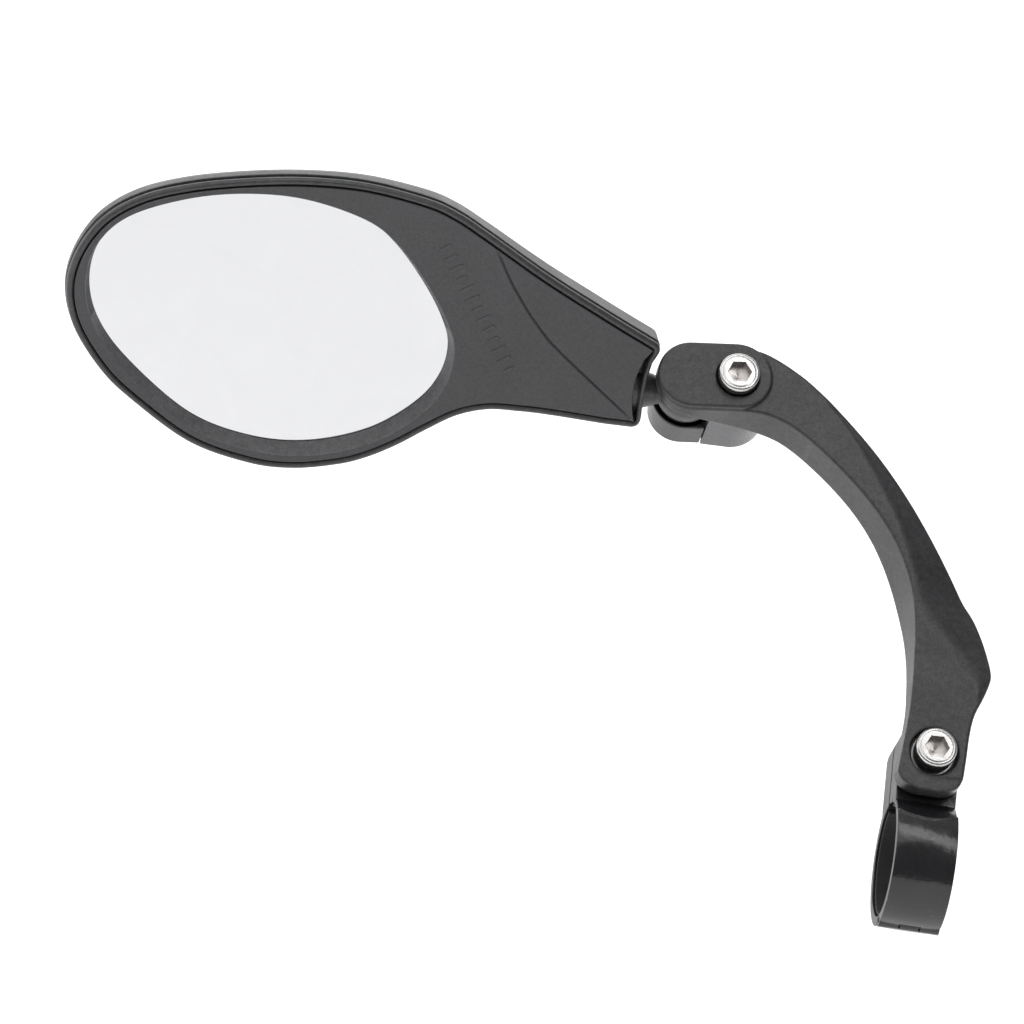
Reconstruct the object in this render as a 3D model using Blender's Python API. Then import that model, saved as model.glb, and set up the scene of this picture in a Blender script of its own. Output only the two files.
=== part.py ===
"""Left-hand handlebar mirror for a bicycle.

A split clamp grips a 22.2 mm bar. A curved moulded arm swings on the clamp's
bolt, and its far end grips the ball of the mirror head between the arm's own
jaw and a separate lower jaw.

Two working frames are used, both in millimetres and turned into metres by MM:
  arm frame   x along the handlebar, z up the arm, n out along the bolts
              (the side with the bolt heads). It leans forward about the bar.
  head frame  u along the neck towards the ball, v up, w out of the mirror face,
              with its origin at the centre of the ball.
"""

import math

import bmesh
import bpy
from mathutils import Matrix, Vector

MM = 0.001

# ---------------------------------------------------------------- dimensions
BAR_DIAMETER = 22.2
CLAMP_WIDTH = 12.6
CLAMP_RADIUS = 14.1
CLAMP_WAIST_RADIUS = 13.05  # the stepped-down part under the arm's ear
CLAMP_BORE_RADIUS = 11.9  # of the metal, the liner sits in it
LINER_OUTER_RADIUS = 11.8
CLAMP_SPLIT = 0.45  # half the slot between the two halves
CLAMP_EAR_THICKNESS = 7.25
CLAMP_EAR_TOP = 23.3  # centre of the round end of the clamp ears
HINGE_DROP = 13.15  # hinge pin axis below the bar axis
HINGE_KNUCKLE_RADIUS = 1.45
HINGE_PIN_RADIUS = 0.55

LEAN = 45.0  # degrees, the arm frame leans forward about the bar

LOWER_BOLT = (0.0, 20.3)  # x, z of the swing axis
BALL = (-58.3, 95.2, 5.5)  # x, z, n of the ball centre
UPPER_BOLT = (-48.8, 96.42)  # x, z of the ball clamp's bolt
BALL_RADIUS = 6.55
SEAT_INNER, SEAT_OUTER, SOCKET_RADIUS = 6.65, 6.9, 7.05

HEAD_YAW, HEAD_PITCH, HEAD_ROLL = 6.9, 3.8, -6.7  # degrees, about Z, X, Y

M5_SHANK = 2.45
M5_HOLE = 2.8
M5_HEAD_RADIUS, M5_HEAD_HEIGHT = 4.25, 5.0
M5_HEX_AF = 4.0
M5_NUT_AF, M5_NUT_THICKNESS = 8.0, 3.8

FACE = 5.0  # w of the front of the mirror panel
RIM = 1.8  # width of the housing's rim round the panel
LENS_FRONT = 1.2
LENS_THICKNESS = 1.6
END_CLEARANCE = 12.0  # the head's inner end is hollowed to this radius about the ball

# Half outlines of the head, from its inner end to its outer tip, u and v.
HEAD_TOP = [(-11.8, 16.1), (-18.4, 20.3), (-31.6, 29.0), (-44.7, 38.6), (-51.0, 43.0), (-57.5, 46.1),
            (-70.0, 49.5), (-82.5, 50.7), (-94.8, 50.4), (-107.0, 49.0), (-117.0, 46.2), (-125.0, 41.0), (-130.2, 33.6)]
HEAD_TIP = (-132.2, 25.4)
HEAD_BOTTOM = [(-18.0, -5.8), (-30.2, -3.7), (-36.6, -2.9), (-43.0, -2.5), (-49.3, -3.9), (-55.5, -7.2), (-61.7, -10.9),
               (-68.0, -13.8), (-74.2, -15.5), (-83.7, -16.4), (-93.2, -15.1), (-106.0, -10.0), (-118.7, 0.3), (-125.4, 7.6), (-130.6, 16.6)]
HEAD_TOP_CORNER = (-6.0, 12.5)
HEAD_BOTTOM_CORNER = (-11.6, -6.75)
HEAD_CORNER_RADIUS = 2.6

# Window in the panel, at its front edge, counter-clockwise from the right.
WINDOW = [(-50.8, 11.5), (-52.6, 18.4), (-57.1, 26.9), (-63.4, 35.6), (-70.2, 41.2), (-82.7, 45.7), (-95.0, 46.9), (-107.2, 45.6),
          (-119.0, 41.6), (-125.4, 35.2), (-127.6, 26.6), (-125.8, 17.2), (-119.4, 7.4), (-106.4, -5.0), (-93.4, -10.7),
          (-80.6, -12.1), (-67.5, -9.2), (-57.6, -2.9), (-52.4, 4.0)]
WINDOW_DRAFT = 0.9

# Arm stations: inner edge x, z and outer edge x, z of the front face, then the
# levels n of its inner edge, its outer edge and its back, and how far the inner
# wall leans out towards the back.
ARM = [
    (-42.6, 89.2, -42.9, 103.2, 13.4, 13.4, 4.7, 0.9),
    (-37.6, 88.0, -35.2, 99.5, 13.4, 13.2, 4.5, 0.9),
    (-33.0, 85.7, -29.3, 95.2, 13.4, 12.8, 4.4, 0.9),
    (-28.6, 82.5, -24.0, 90.8, 13.4, 12.4, 4.4, 0.9),
    (-24.5, 79.1, -19.2, 86.4, 13.4, 12.2, 4.4, 0.9),
    (-20.3, 75.4, -14.6, 81.7, 13.4, 12.1, 4.3, 1.0),
    (-16.4, 71.4, -10.2, 76.5, 13.4, 12.0, 4.0, 1.2),
    (-12.8, 66.8, -6.0, 70.9, 13.4, 12.0, 3.7, 1.6),
    (-9.9, 61.6, -1.9, 64.7, 13.4, 12.0, 3.6, 1.9),
    (-7.9, 56.4, 1.8, 58.5, 13.4, 12.0, 3.6, 2.0),
    (-7.15, 53.0, 3.95, 54.5, 13.4, 12.1, 3.9, 1.8),
    (-6.7, 50.6, 6.1, 51.7, 13.35, 12.1, 4.2, 1.5),
    (-6.25, 46.8, 8.25, 47.3, 13.3, 12.2, 5.0, 1.0),
    (-6.0, 43.0, 9.7, 43.2, 13.2, 12.3, 5.8, 0.7),
    (-5.85, 39.6, 10.8, 39.2, 13.1, 12.4, 6.5, 0.5),
    (-5.8, 36.8, 10.4, 36.7, 13.1, 12.5, 7.0, 0.4),
    (-5.7, 33.2, 9.2, 33.1, 13.0, 12.6, 7.7, 0.4),
    (-5.75, 29.6, 7.8, 29.6, 12.9, 12.7, 8.3, 0.3),
    (-6.1, 25.2, 7.15, 25.2, 12.8, 12.8, 8.6, 0.3),
    (-6.6, 20.3, 6.9, 20.3, 12.8, 12.8, 8.6, 0.3),
    (-7.1, 15.8, 6.6, 15.8, 12.8, 12.8, 8.6, 0.3),
]
ARM_EDGE = 0.7
JAW_RADIUS = 7.5
PLATFORM_RADIUS = 7.2
PLATFORM_SHIFT = 0.25  # of its middle line, towards the outer side
PLATFORM_TOP = 14.5
LOWER_JAW_BOTTOM = -6.4
LOWER_JAW_TOP = 2.3
LOWER_JAW_RADIUS = 6.95
TONGUE_RADIUS = 5.7
SKIRT_RADIUS = 7.7
SKIRT_REACH = 1.0  # of its round end past the bolt
SLIT = 4.4  # along the jaw from the ball centre


# ---------------------------------------------------------------- frames
def arm_point(x, z, n):
    return Vector((x, -n, z)) * MM


def head_point(u, v, w):
    return Vector((u, -w, v)) * MM


LEAN_FRAME = Matrix.Rotation(math.radians(-LEAN), 4, "X")
BALL_CENTRE = LEAN_FRAME @ arm_point(*BALL)
HEAD_FRAME = (
    Matrix.Translation(BALL_CENTRE)
    @ Matrix.Rotation(math.radians(HEAD_YAW), 4, "Z")
    @ Matrix.Rotation(math.radians(HEAD_PITCH), 4, "X")
    @ Matrix.Rotation(math.radians(HEAD_ROLL), 4, "Y")
)
JAW_X = Vector((UPPER_BOLT[0] - BALL[0], UPPER_BOLT[1] - BALL[1])).normalized()
JAW_LENGTH = math.hypot(UPPER_BOLT[0] - BALL[0], UPPER_BOLT[1] - BALL[1])


def jaw(along, across):
    """x, z of a point in the ball clamp: along from the ball to the bolt, across towards the outer side of the arm."""
    return (
        BALL[0] + along * JAW_X.x - across * JAW_X.y,
        BALL[1] + along * JAW_X.y + across * JAW_X.x,
    )


# ---------------------------------------------------------------- scene
for old in list(bpy.data.objects):
    bpy.data.objects.remove(old, do_unlink=True)

COLLECTION = bpy.context.scene.collection


def material(name, colour, roughness, metallic=0.0):
    made = bpy.data.materials.new(name)
    made.use_nodes = True
    shader = made.node_tree.nodes["Principled BSDF"]
    shader.inputs["Base Color"].default_value = (*colour, 1.0)
    shader.inputs["Roughness"].default_value = roughness
    shader.inputs["Metallic"].default_value = metallic
    made.diffuse_color = (*colour, 1.0)
    return made


def empty(name, parent, matrix):
    made = bpy.data.objects.new(name, None)
    COLLECTION.objects.link(made)
    made.parent = parent
    made.matrix_basis = matrix
    made.empty_display_size = 0.01
    return made


ROOT = empty("lean_axis", None, LEAN_FRAME)
HEAD = empty("ball_centre", ROOT, LEAN_FRAME.inverted() @ HEAD_FRAME)


def solid(name, mesh, frame=ROOT, pivot=None, finish=None, smooth=35.0):
    """An object from a bmesh, with its origin moved to pivot in its frame."""
    pivot = pivot or Vector((0.0, 0.0, 0.0))
    bmesh.ops.recalc_face_normals(mesh, faces=mesh.faces)
    bmesh.ops.translate(mesh, verts=mesh.verts, vec=-pivot)
    data = bpy.data.meshes.new(name)
    mesh.to_mesh(data)
    mesh.free()
    made = bpy.data.objects.new(name, data)
    COLLECTION.objects.link(made)
    made.parent = frame
    made.matrix_basis = Matrix.Translation(pivot)
    if finish:
        data.materials.append(finish)
    if smooth and len(data.polygons):
        data.shade_smooth()
        data.set_sharp_from_angle(angle=math.radians(smooth))
    return made


def cutter(name, mesh, frame=ROOT):
    made = solid(name, mesh, frame, smooth=0.0)
    made.hide_render = True
    made.display_type = "WIRE"
    return made


def boolean(target, operation, tool):
    step = target.modifiers.new(tool.name, "BOOLEAN")
    step.operation = operation
    step.object = tool
    step.solver = "EXACT"


# ---------------------------------------------------------------- shapes
def loft(rings, closed_ring=True, caps=True):
    """A mesh through rings of equally many points."""
    mesh = bmesh.new()
    rows = [[mesh.verts.new(p) for p in ring] for ring in rings]
    count = len(rows[0])
    for near, far in zip(rows, rows[1:]):
        for i in range(count):
            j = (i + 1) % count
            mesh.faces.new((near[i], near[j], far[j], far[i]))
    if caps:
        mesh.faces.new(rows[0][::-1])
        mesh.faces.new(rows[-1])
    return mesh


def prism(outline, low, high, point=arm_point):
    """An outline swept along the frame's depth from level low to level high."""
    return loft([[point(a, b, low) for a, b in outline], [point(a, b, high) for a, b in outline]])


def turned(profile, centre, sides=28, point=arm_point, turn=0.0):
    """A profile of radius, level pairs turned about the depth axis through centre."""
    rings = []
    for radius, level in profile:
        rings.append(
            [
                point(
                    centre[0] + radius * math.cos(turn + 2 * math.pi * i / sides),
                    centre[1] + radius * math.sin(turn + 2 * math.pi * i / sides),
                    level,
                )
                for i in range(sides)
            ]
        )
    return loft(rings)


def tube(inner, outer, low, high, centre, chamfer=0.0, sides=24):
    """A ring with a square or chamfered section."""
    c = chamfer
    section = [(inner, low), (outer - c, low), (outer, low + c), (outer, high - c), (outer - c, high), (inner, high)]
    if not c:
        section = [(inner, low), (outer, low), (outer, high), (inner, high)]
    rings = [
        [arm_point(centre[0] + r * math.cos(2 * math.pi * i / sides), centre[1] + r * math.sin(2 * math.pi * i / sides), n) for i in range(sides)]
        for r, n in section
    ]
    rings.append(rings[0])
    mesh = loft(rings, caps=False)
    bmesh.ops.remove_doubles(mesh, verts=mesh.verts, dist=1e-7)
    return mesh


def circle(centre, radius, sides=40, start=0.0, sweep=360.0):
    closed = sweep >= 360.0
    count = sides if closed else sides + 1
    return [
        (
            centre[0] + radius * math.cos(math.radians(start + sweep * i / sides)),
            centre[1] + radius * math.sin(math.radians(start + sweep * i / sides)),
        )
        for i in range(count)
    ]


def hexagon(centre, across_flats, turn=0.0):
    return circle(centre, across_flats / math.sqrt(3.0), 6, turn)


def stadium(start, end, radius, shift=0.0, sides=16):
    """Outline round two equal circles in the jaw's own along, across axes."""
    points = circle((start, shift), radius, sides, 90.0, 180.0) + circle((end, shift), radius, sides, -90.0, 180.0)
    return [jaw(a, b) for a, b in points]


def spline(points, count, closed=False):
    """Catmull-Rom curve through points, with count samples for each span."""
    total = len(points)
    spans = total if closed else total - 1
    out = []
    for i in range(spans):
        if closed:
            p = [Vector(points[(i + k - 1) % total]) for k in range(4)]
        else:
            p = [Vector(points[min(max(i + k - 1, 0), total - 1)]) for k in range(4)]
        for k in range(count):
            t = k / count
            out.append(
                0.5
                * (
                    2 * p[1]
                    + (p[2] - p[0]) * t
                    + (2 * p[0] - 5 * p[1] + 4 * p[2] - p[3]) * t * t
                    + (3 * p[1] - p[0] - 3 * p[2] + p[3]) * t * t * t
                )
            )
    if not closed:
        out.append(Vector(points[-1]))
    return out


def resample(points, count):
    """count points at equal distances along an open line, both ends kept."""
    lengths = [0.0]
    for a, b in zip(points, points[1:]):
        lengths.append(lengths[-1] + (b - a).length)
    out = []
    k = 0
    for i in range(count):
        want = lengths[-1] * i / (count - 1)
        while k < len(points) - 2 and lengths[k + 1] < want:
            k += 1
        span = lengths[k + 1] - lengths[k]
        out.append(points[k].lerp(points[k + 1], (want - lengths[k]) / span if span else 0.0))
    return out


def offset(points, distance):
    """A counter-clockwise closed outline moved inwards by distance."""
    out = []
    total = len(points)
    for i in range(total):
        a, b, c = points[i - 1], points[i], points[(i + 1) % total]
        first = Vector((b - a).normalized())
        second = Vector((c - b).normalized())
        one = Vector((-first.y, first.x))
        two = Vector((-second.y, second.x))
        mean = (one + two).normalized()
        out.append(b + mean * (distance / max(0.5, mean.dot(one))))
    return out


def fillet(before, corner, after, radius, sides):
    """Arc that rounds the corner between two straight runs."""
    one = (before - corner).normalized()
    two = (after - corner).normalized()
    half = one.angle(two) / 2
    reach = radius / math.tan(half)
    middle = corner + (one + two).normalized() * (radius / math.sin(half))
    start = corner + one * reach - middle
    end = corner + two * reach - middle
    sweep = start.angle_signed(end)
    out = []
    for i in range(sides + 1):
        a = -sweep * i / sides
        out.append(middle + Vector((start.x * math.cos(a) - start.y * math.sin(a), start.x * math.sin(a) + start.y * math.cos(a))))
    return out


# ---------------------------------------------------------------- head outline
def head_outline(side_count=26, end_count=4, corner_count=3):
    """Counter-clockwise outline of the head, and each point's spine point."""
    top_corner, bottom_corner = Vector(HEAD_TOP_CORNER), Vector(HEAD_BOTTOM_CORNER)
    tip = Vector(HEAD_TIP)
    # Both halves share the tip, where the outline runs straight down.
    top = spline(HEAD_TOP + [HEAD_TIP, HEAD_BOTTOM[-1]], 12)
    top = top[: 12 * len(HEAD_TOP) + 1]
    bottom = spline(HEAD_BOTTOM + [HEAD_TIP, HEAD_TOP[-1]], 12)
    bottom = bottom[: 12 * len(HEAD_BOTTOM) + 1]
    top_arc = fillet(bottom_corner, top_corner, top[0], HEAD_CORNER_RADIUS, corner_count)
    bottom_arc = fillet(bottom[0], bottom_corner, top_corner, HEAD_CORNER_RADIUS, corner_count)
    top = resample([top_arc[-1]] + top, side_count + 1)
    bottom = resample([bottom_arc[0]] + bottom, side_count + 1)
    end = resample([bottom_arc[-1], top_arc[0]], end_count)
    # The spine, halfway between the two sides, stops short of the tip.
    middle = [(a + b) / 2 for a, b in zip(top, bottom)]
    last = max(i for i, m in enumerate(middle) if (m - tip).length > 30.0)
    spine = [middle[min(i, last)] for i in range(side_count + 1)]
    points, spines = [], []
    for p in end[1:-1]:
        points.append(p)
        spines.append(spine[0])
    for p in top_arc[:-1]:
        points.append(p)
        spines.append(spine[0])
    for p, s in zip(top, spine):
        points.append(p)
        spines.append(s)
    for p, s in reversed(list(zip(bottom[:-1], spine[:-1]))):
        points.append(p)
        spines.append(s)
    for p in bottom_arc[1:]:
        points.append(p)
        spines.append(spine[0])
    return points, spines


def ramp(value, low, high):
    t = min(1.0, max(0.0, (value - low) / (high - low)))
    return t * t * (3 - 2 * t)


def side_depth(u):
    """w where the side wall starts to curve into the back."""
    return 1.6 - 2.4 * ramp(u, -70.0, -20.0)


def back_depth(u):
    """w of the back along the spine."""
    return -8.4 + 3.7 * ramp(u, -75.0, -22.0)


def sphere(radius, frame_point, sides=32, rings=16):
    """A ball about the frame's origin as poles and rings, along the depth axis."""
    rows = []
    for k in range(1, rings):
        a = math.pi * k / rings
        rows.append([frame_point(radius * math.sin(a) * math.cos(2 * math.pi * i / sides), radius * math.sin(a) * math.sin(2 * math.pi * i / sides), radius * math.cos(a)) for i in range(sides)])
    mesh = loft(rows, caps=False)
    mesh.verts.ensure_lookup_table()
    first, last = mesh.verts.new(frame_point(0, 0, radius)), mesh.verts.new(frame_point(0, 0, -radius))
    mesh.verts.ensure_lookup_table()
    top_row = mesh.verts[:sides]
    end_row = mesh.verts[sides * (rings - 2) : sides * (rings - 1)]
    for i in range(sides):
        j = (i + 1) % sides
        mesh.faces.new((first, top_row[j], top_row[i]))
        mesh.faces.new((last, end_row[i], end_row[j]))
    return mesh


# ---------------------------------------------------------------- finishes
HOUSING_PLASTIC = material("housing_plastic", (0.070, 0.070, 0.073), 0.55)
PANEL_PLASTIC = material("panel_plastic", (0.062, 0.062, 0.065), 0.60)
ARM_PLASTIC = material("arm_plastic", (0.055, 0.055, 0.058), 0.50)
JAW_PLASTIC = material("jaw_plastic", (0.060, 0.060, 0.063), 0.50)
MIRROR = material("mirror_glass", (0.92, 0.92, 0.93), 0.02, 1.0)
PAD = material("pad_foam", (0.03, 0.03, 0.03), 0.9)
SEAT = material("seat_nylon", (0.045, 0.045, 0.047), 0.45)
CLAMP_BLACK = material("clamp_black", (0.018, 0.018, 0.020), 0.22, 0.6)
LINER_RUBBER = material("liner_rubber", (0.025, 0.025, 0.026), 0.75)
BRIGHT_STEEL = material("bright_steel", (0.72, 0.71, 0.69), 0.22, 1.0)
WASHER_STEEL = material("washer_steel", (0.60, 0.60, 0.60), 0.3, 1.0)
NYLON = material("swivel_nylon", (0.04, 0.04, 0.042), 0.6)


# ---------------------------------------------------------------- clamp
def clamp_half(name, side, pivot):
    """side is +1 for the front half, with the bolt head, and -1 for the rear one."""
    r, s = CLAMP_RADIUS, CLAMP_SPLIT
    half = CLAMP_WIDTH / 2
    steps = 24

    def along_bar(profile, low, high):
        rings = [[Vector((x, -n, z)) * MM for n, z in profile] for x in (low, high)]
        return loft(rings)

    def half_ring(outer, inner):
        start = math.asin(s / outer)
        outside = [(side * outer * math.sin(start + (math.pi - 2 * start) * i / steps), outer * math.cos(start + (math.pi - 2 * start) * i / steps)) for i in range(steps + 1)]
        start = math.asin(s / inner)
        inside = [(side * inner * math.sin(start + (math.pi - 2 * start) * i / steps), inner * math.cos(start + (math.pi - 2 * start) * i / steps)) for i in range(steps + 1)]
        return outside + inside[::-1]

    made = solid(name, along_bar(half_ring(r, CLAMP_BORE_RADIUS), -half, half), finish=CLAMP_BLACK)
    if side > 0:
        # The full-width band is cut back in an arc round the bolt, above which a thinner waist carries on.
        boolean(made, "DIFFERENCE", cutter(name + "_arc_cut", prism(circle(LOWER_BOLT, 14.4, 64), 4.0, 30.0)))
        boolean(made, "UNION", cutter(name + "_waist", along_bar(half_ring(CLAMP_WAIST_RADIUS, CLAMP_BORE_RADIUS + 0.005), -half + 0.005, half - 0.005)))
    ear_low = 12.6
    ear = [(-half, ear_low), (half, ear_low)] + circle((0.0, CLAMP_EAR_TOP), half, 20, 0.0, 180.0)
    levels = (s, s + CLAMP_EAR_THICKNESS)
    ear_mesh = prism(ear, side * levels[0], side * levels[1])
    ear_solid = cutter(name + "_ear", ear_mesh)
    boolean(made, "UNION", ear_solid)
    # A web fills the corner between the ear and the band.
    web = [(side * s, 10.6), (side * s, 15.0), (side * (s + CLAMP_EAR_THICKNESS - 0.01), 15.0), (side * (s + CLAMP_EAR_THICKNESS - 0.01), 10.2), (side * 6.5, 10.4)]
    boolean(made, "UNION", cutter(name + "_web", along_bar(web, -half + 0.01, half - 0.01)))
    boolean(made, "DIFFERENCE", cutter(name + "_bolt_hole", prism(circle(LOWER_BOLT, M5_HOLE, 28), -12.0, 12.0)))
    bore = [(side * a, b) for a, b in circle((0.0, 0.0), CLAMP_BORE_RADIUS, 72)]
    boolean(made, "DIFFERENCE", cutter(name + "_bore", along_bar(bore, -half - 2, half + 2)))
    # Hinge knuckles under the bar: two outer ones on the front half, a middle one on the rear half.
    knuckle = circle((0.0, -HINGE_DROP), HINGE_KNUCKLE_RADIUS, 24)
    spans = ((-half, -2.25), (2.25, half)) if side > 0 else ((-1.95, 1.95),)
    room = circle((0.0, -HINGE_DROP), HINGE_KNUCKLE_RADIUS + 0.3, 24)
    gaps = ((-2.24, 2.24),) if side > 0 else ((-half - 1, -1.96), (1.96, half + 1))
    for i, (low, high) in enumerate(gaps):
        boolean(made, "DIFFERENCE", cutter(f"{name}_knuckle_room_{i}", along_bar(room, low, high)))
    for i, (low, high) in enumerate(spans):
        boolean(made, "UNION", cutter(f"{name}_knuckle_{i}", along_bar(knuckle, low, high)))
    boolean(made, "DIFFERENCE", cutter(name + "_bore_again", along_bar(circle((0.0, 0.0), CLAMP_BORE_RADIUS + 0.004, 72), -half - 2, half + 2)))
    boolean(made, "DIFFERENCE", cutter(name + "_pin_hole", along_bar(circle((0.0, -HINGE_DROP), HINGE_PIN_RADIUS + 0.25, 20), -half - 2, half + 2)))
    if side < 0:
        boolean(made, "DIFFERENCE", cutter(name + "_nut_pocket", prism(hexagon(LOWER_BOLT, M5_NUT_AF + 0.5, 30.0), -12.0, -3.3)))
    return made


front_half = clamp_half("clamp_front_half", 1, None)
rear_half = clamp_half("clamp_rear_half", -1, None)


def liner(name, side):
    """Rubber liner on one half of the bore."""
    steps, start = 20, 12.0
    arc = [math.radians(start + (180 - 2 * start) * i / steps) for i in range(steps + 1)]
    outside = [(side * LINER_OUTER_RADIUS * math.sin(a), LINER_OUTER_RADIUS * math.cos(a)) for a in arc]
    inside = [(side * BAR_DIAMETER / 2 * math.sin(a), BAR_DIAMETER / 2 * math.cos(a)) for a in arc]
    half = CLAMP_WIDTH / 2 - 0.5
    rings = [[Vector((x, -n, z)) * MM for n, z in outside + inside[::-1]] for x in (-half, half)]
    return solid(name, loft(rings), finish=LINER_RUBBER)


liner("bar_liner_front", 1)
liner("bar_liner_rear", -1)

pin_length = CLAMP_WIDTH - 0.4
pin_rings = []
for x, r in ((-pin_length / 2, HINGE_PIN_RADIUS - 0.12), (-pin_length / 2 + 0.2, HINGE_PIN_RADIUS), (pin_length / 2 - 0.2, HINGE_PIN_RADIUS), (pin_length / 2, HINGE_PIN_RADIUS - 0.12)):
    pin_rings.append([Vector((x, -r * math.sin(2 * math.pi * i / 20), -HINGE_DROP + r * math.cos(2 * math.pi * i / 20))) * MM for i in range(20)])
solid("clamp_hinge_pin", loft(pin_rings), pivot=arm_point(0, -HINGE_DROP, 0), finish=WASHER_STEEL)


# ---------------------------------------------------------------- fasteners
def cap_screw(name, centre, underside, length):
    """Socket head cap screw with a chamfered head and a hexagon socket."""
    head, top = M5_HEAD_RADIUS, underside + M5_HEAD_HEIGHT
    profile = [
        (M5_SHANK - 0.45, underside - length),
        (M5_SHANK, underside - length + 0.5),
        (M5_SHANK, underside),
        (head - 0.12, underside),
        (head, underside + 0.15),
        (head, top - 0.55),
        (head - 0.5, top),
    ]
    made = solid(name, turned(profile, centre), pivot=arm_point(*centre, underside), finish=BRIGHT_STEEL)
    boolean(made, "DIFFERENCE", cutter(name + "_socket", prism(hexagon(centre, M5_HEX_AF, 22.0), top - 2.5, top + 1.0)))
    boolean(made, "DIFFERENCE", cutter(name + "_lead_in", turned([(2.0, top - 0.3), (2.75, top + 0.15)], centre, 24)))
    return made


def nut(name, centre, low, turn):
    made = solid(name, prism(hexagon(centre, M5_NUT_AF, turn), low, low + M5_NUT_THICKNESS), pivot=arm_point(*centre, low), finish=BRIGHT_STEEL, smooth=0.0)
    boolean(made, "INTERSECT", cutter(name + "_chamfer", turned([(4.05, low - 0.01), (4.75, low + 0.5), (4.75, low + M5_NUT_THICKNESS - 0.5), (4.05, low + M5_NUT_THICKNESS + 0.01)], centre, 32)))
    boolean(made, "DIFFERENCE", cutter(name + "_thread", prism(circle(centre, M5_SHANK + 0.3, 28), low - 1.0, low + M5_NUT_THICKNESS + 1.0)))
    return made


cap_screw("lower_bolt", LOWER_BOLT, 10.9, 18.0)
solid("lower_flat_washer", tube(2.7, 4.9, 10.2, 10.75, LOWER_BOLT, 0.1), pivot=arm_point(*LOWER_BOLT, 10.2), finish=WASHER_STEEL)
solid("swivel_washer", tube(2.75, 6.0, 7.9, 8.4, LOWER_BOLT), pivot=arm_point(*LOWER_BOLT, 7.85), finish=NYLON)
nut("lower_nut", LOWER_BOLT, -7.5, 30.0)

cap_screw("upper_bolt", UPPER_BOLT, 12.0, 18.0)
solid("upper_flat_washer", tube(2.7, 4.45, 11.1, 11.85, UPPER_BOLT, 0.1), pivot=arm_point(*UPPER_BOLT, 11.1), finish=WASHER_STEEL)
jaw_angle = math.degrees(math.atan2(JAW_X.y, JAW_X.x))
nut("upper_nut", UPPER_BOLT, -5.9, jaw_angle)


# ---------------------------------------------------------------- arm
def arm_stations():
    """Stations from the jaw's round end, along the arm, to the round end of its ear."""
    rows = []
    for along in (-7.42, -6.9, -5.6, -3.2, 0.0):
        half = math.sqrt(max(0.0, JAW_RADIUS**2 - along**2))
        rows.append((*jaw(along, -half), *jaw(along, half), 13.6, 13.6, 10.7 if along < -1 else 10.0, 0.4 if half > 4 else 0.0))
    rows.append((*jaw(4.4, -JAW_RADIUS), *jaw(4.4, JAW_RADIUS + 0.2), 13.6, 13.6, 7.7, 0.3))
    rows.append((*jaw(JAW_LENGTH, -JAW_RADIUS), *jaw(JAW_LENGTH, JAW_RADIUS + 0.1), 13.5, 13.5, 6.2, 0.7))
    rows += ARM
    for x_low, x_high, z in ((-7.05, 6.4, 14.4), (-6.7, 6.0, 13.2), (-5.9, 5.3, 12.35), (-4.6, 4.3, 11.55), (-2.6, 2.4, 10.8)):
        rows.append((x_low, z, x_high, z, 12.8, 12.8, 8.6, 0.3))
    return rows


def arm_section(row):
    """Section between the inner and the outer edge, front edges chamfered, inner wall drafted."""
    xi, zi, xo, zo, ni, no, nb, draft = row
    inner, outer = Vector((xi, zi)), Vector((xo, zo))
    across = (outer - inner).normalized()
    width = (outer - inner).length
    e = min(ARM_EDGE, width * 0.2)

    def at(distance, n):
        p = inner + across * distance
        return arm_point(p.x, p.y, n)

    ridge = 0.45 * width
    return [
        at(0.0, ni - e),
        at(e, ni),
        at(ridge, ni + 0.12),
        at(width - e, no),
        at(width, no - e),
        at(width, nb + e * 0.5),
        at(width - e * 0.5, nb),
        at(-draft + e * 0.5, nb),
        at(-draft, nb + e * 0.5),
    ]


arm = solid("arm", loft([arm_section(row) for row in arm_stations()]), pivot=arm_point(*LOWER_BOLT, 0), finish=ARM_PLASTIC)

# Raised platform over the jaw, then the skirt that hangs down round the lower jaw's tongue.
platform = loft(
    [
        [arm_point(*p, 11.0) for p in stadium(0.0, JAW_LENGTH, PLATFORM_RADIUS + 0.2, PLATFORM_SHIFT)],
        [arm_point(*p, PLATFORM_TOP - 0.45) for p in stadium(0.0, JAW_LENGTH, PLATFORM_RADIUS + 0.05, PLATFORM_SHIFT)],
        [arm_point(*p, PLATFORM_TOP) for p in stadium(0.0, JAW_LENGTH, PLATFORM_RADIUS - 0.35, PLATFORM_SHIFT)],
    ]
)
boolean(arm, "UNION", cutter("arm_platform", platform))
skirt = [jaw(SLIT, -SKIRT_RADIUS + 0.6), *[jaw(a, b) for a, b in circle((JAW_LENGTH + SKIRT_REACH, 0.0), SKIRT_RADIUS, 20, -90.0, 180.0)], jaw(SLIT, SKIRT_RADIUS - 0.6)]
boolean(arm, "UNION", cutter("arm_skirt", prism(skirt, LOWER_JAW_BOTTOM, 10.5)))
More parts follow.
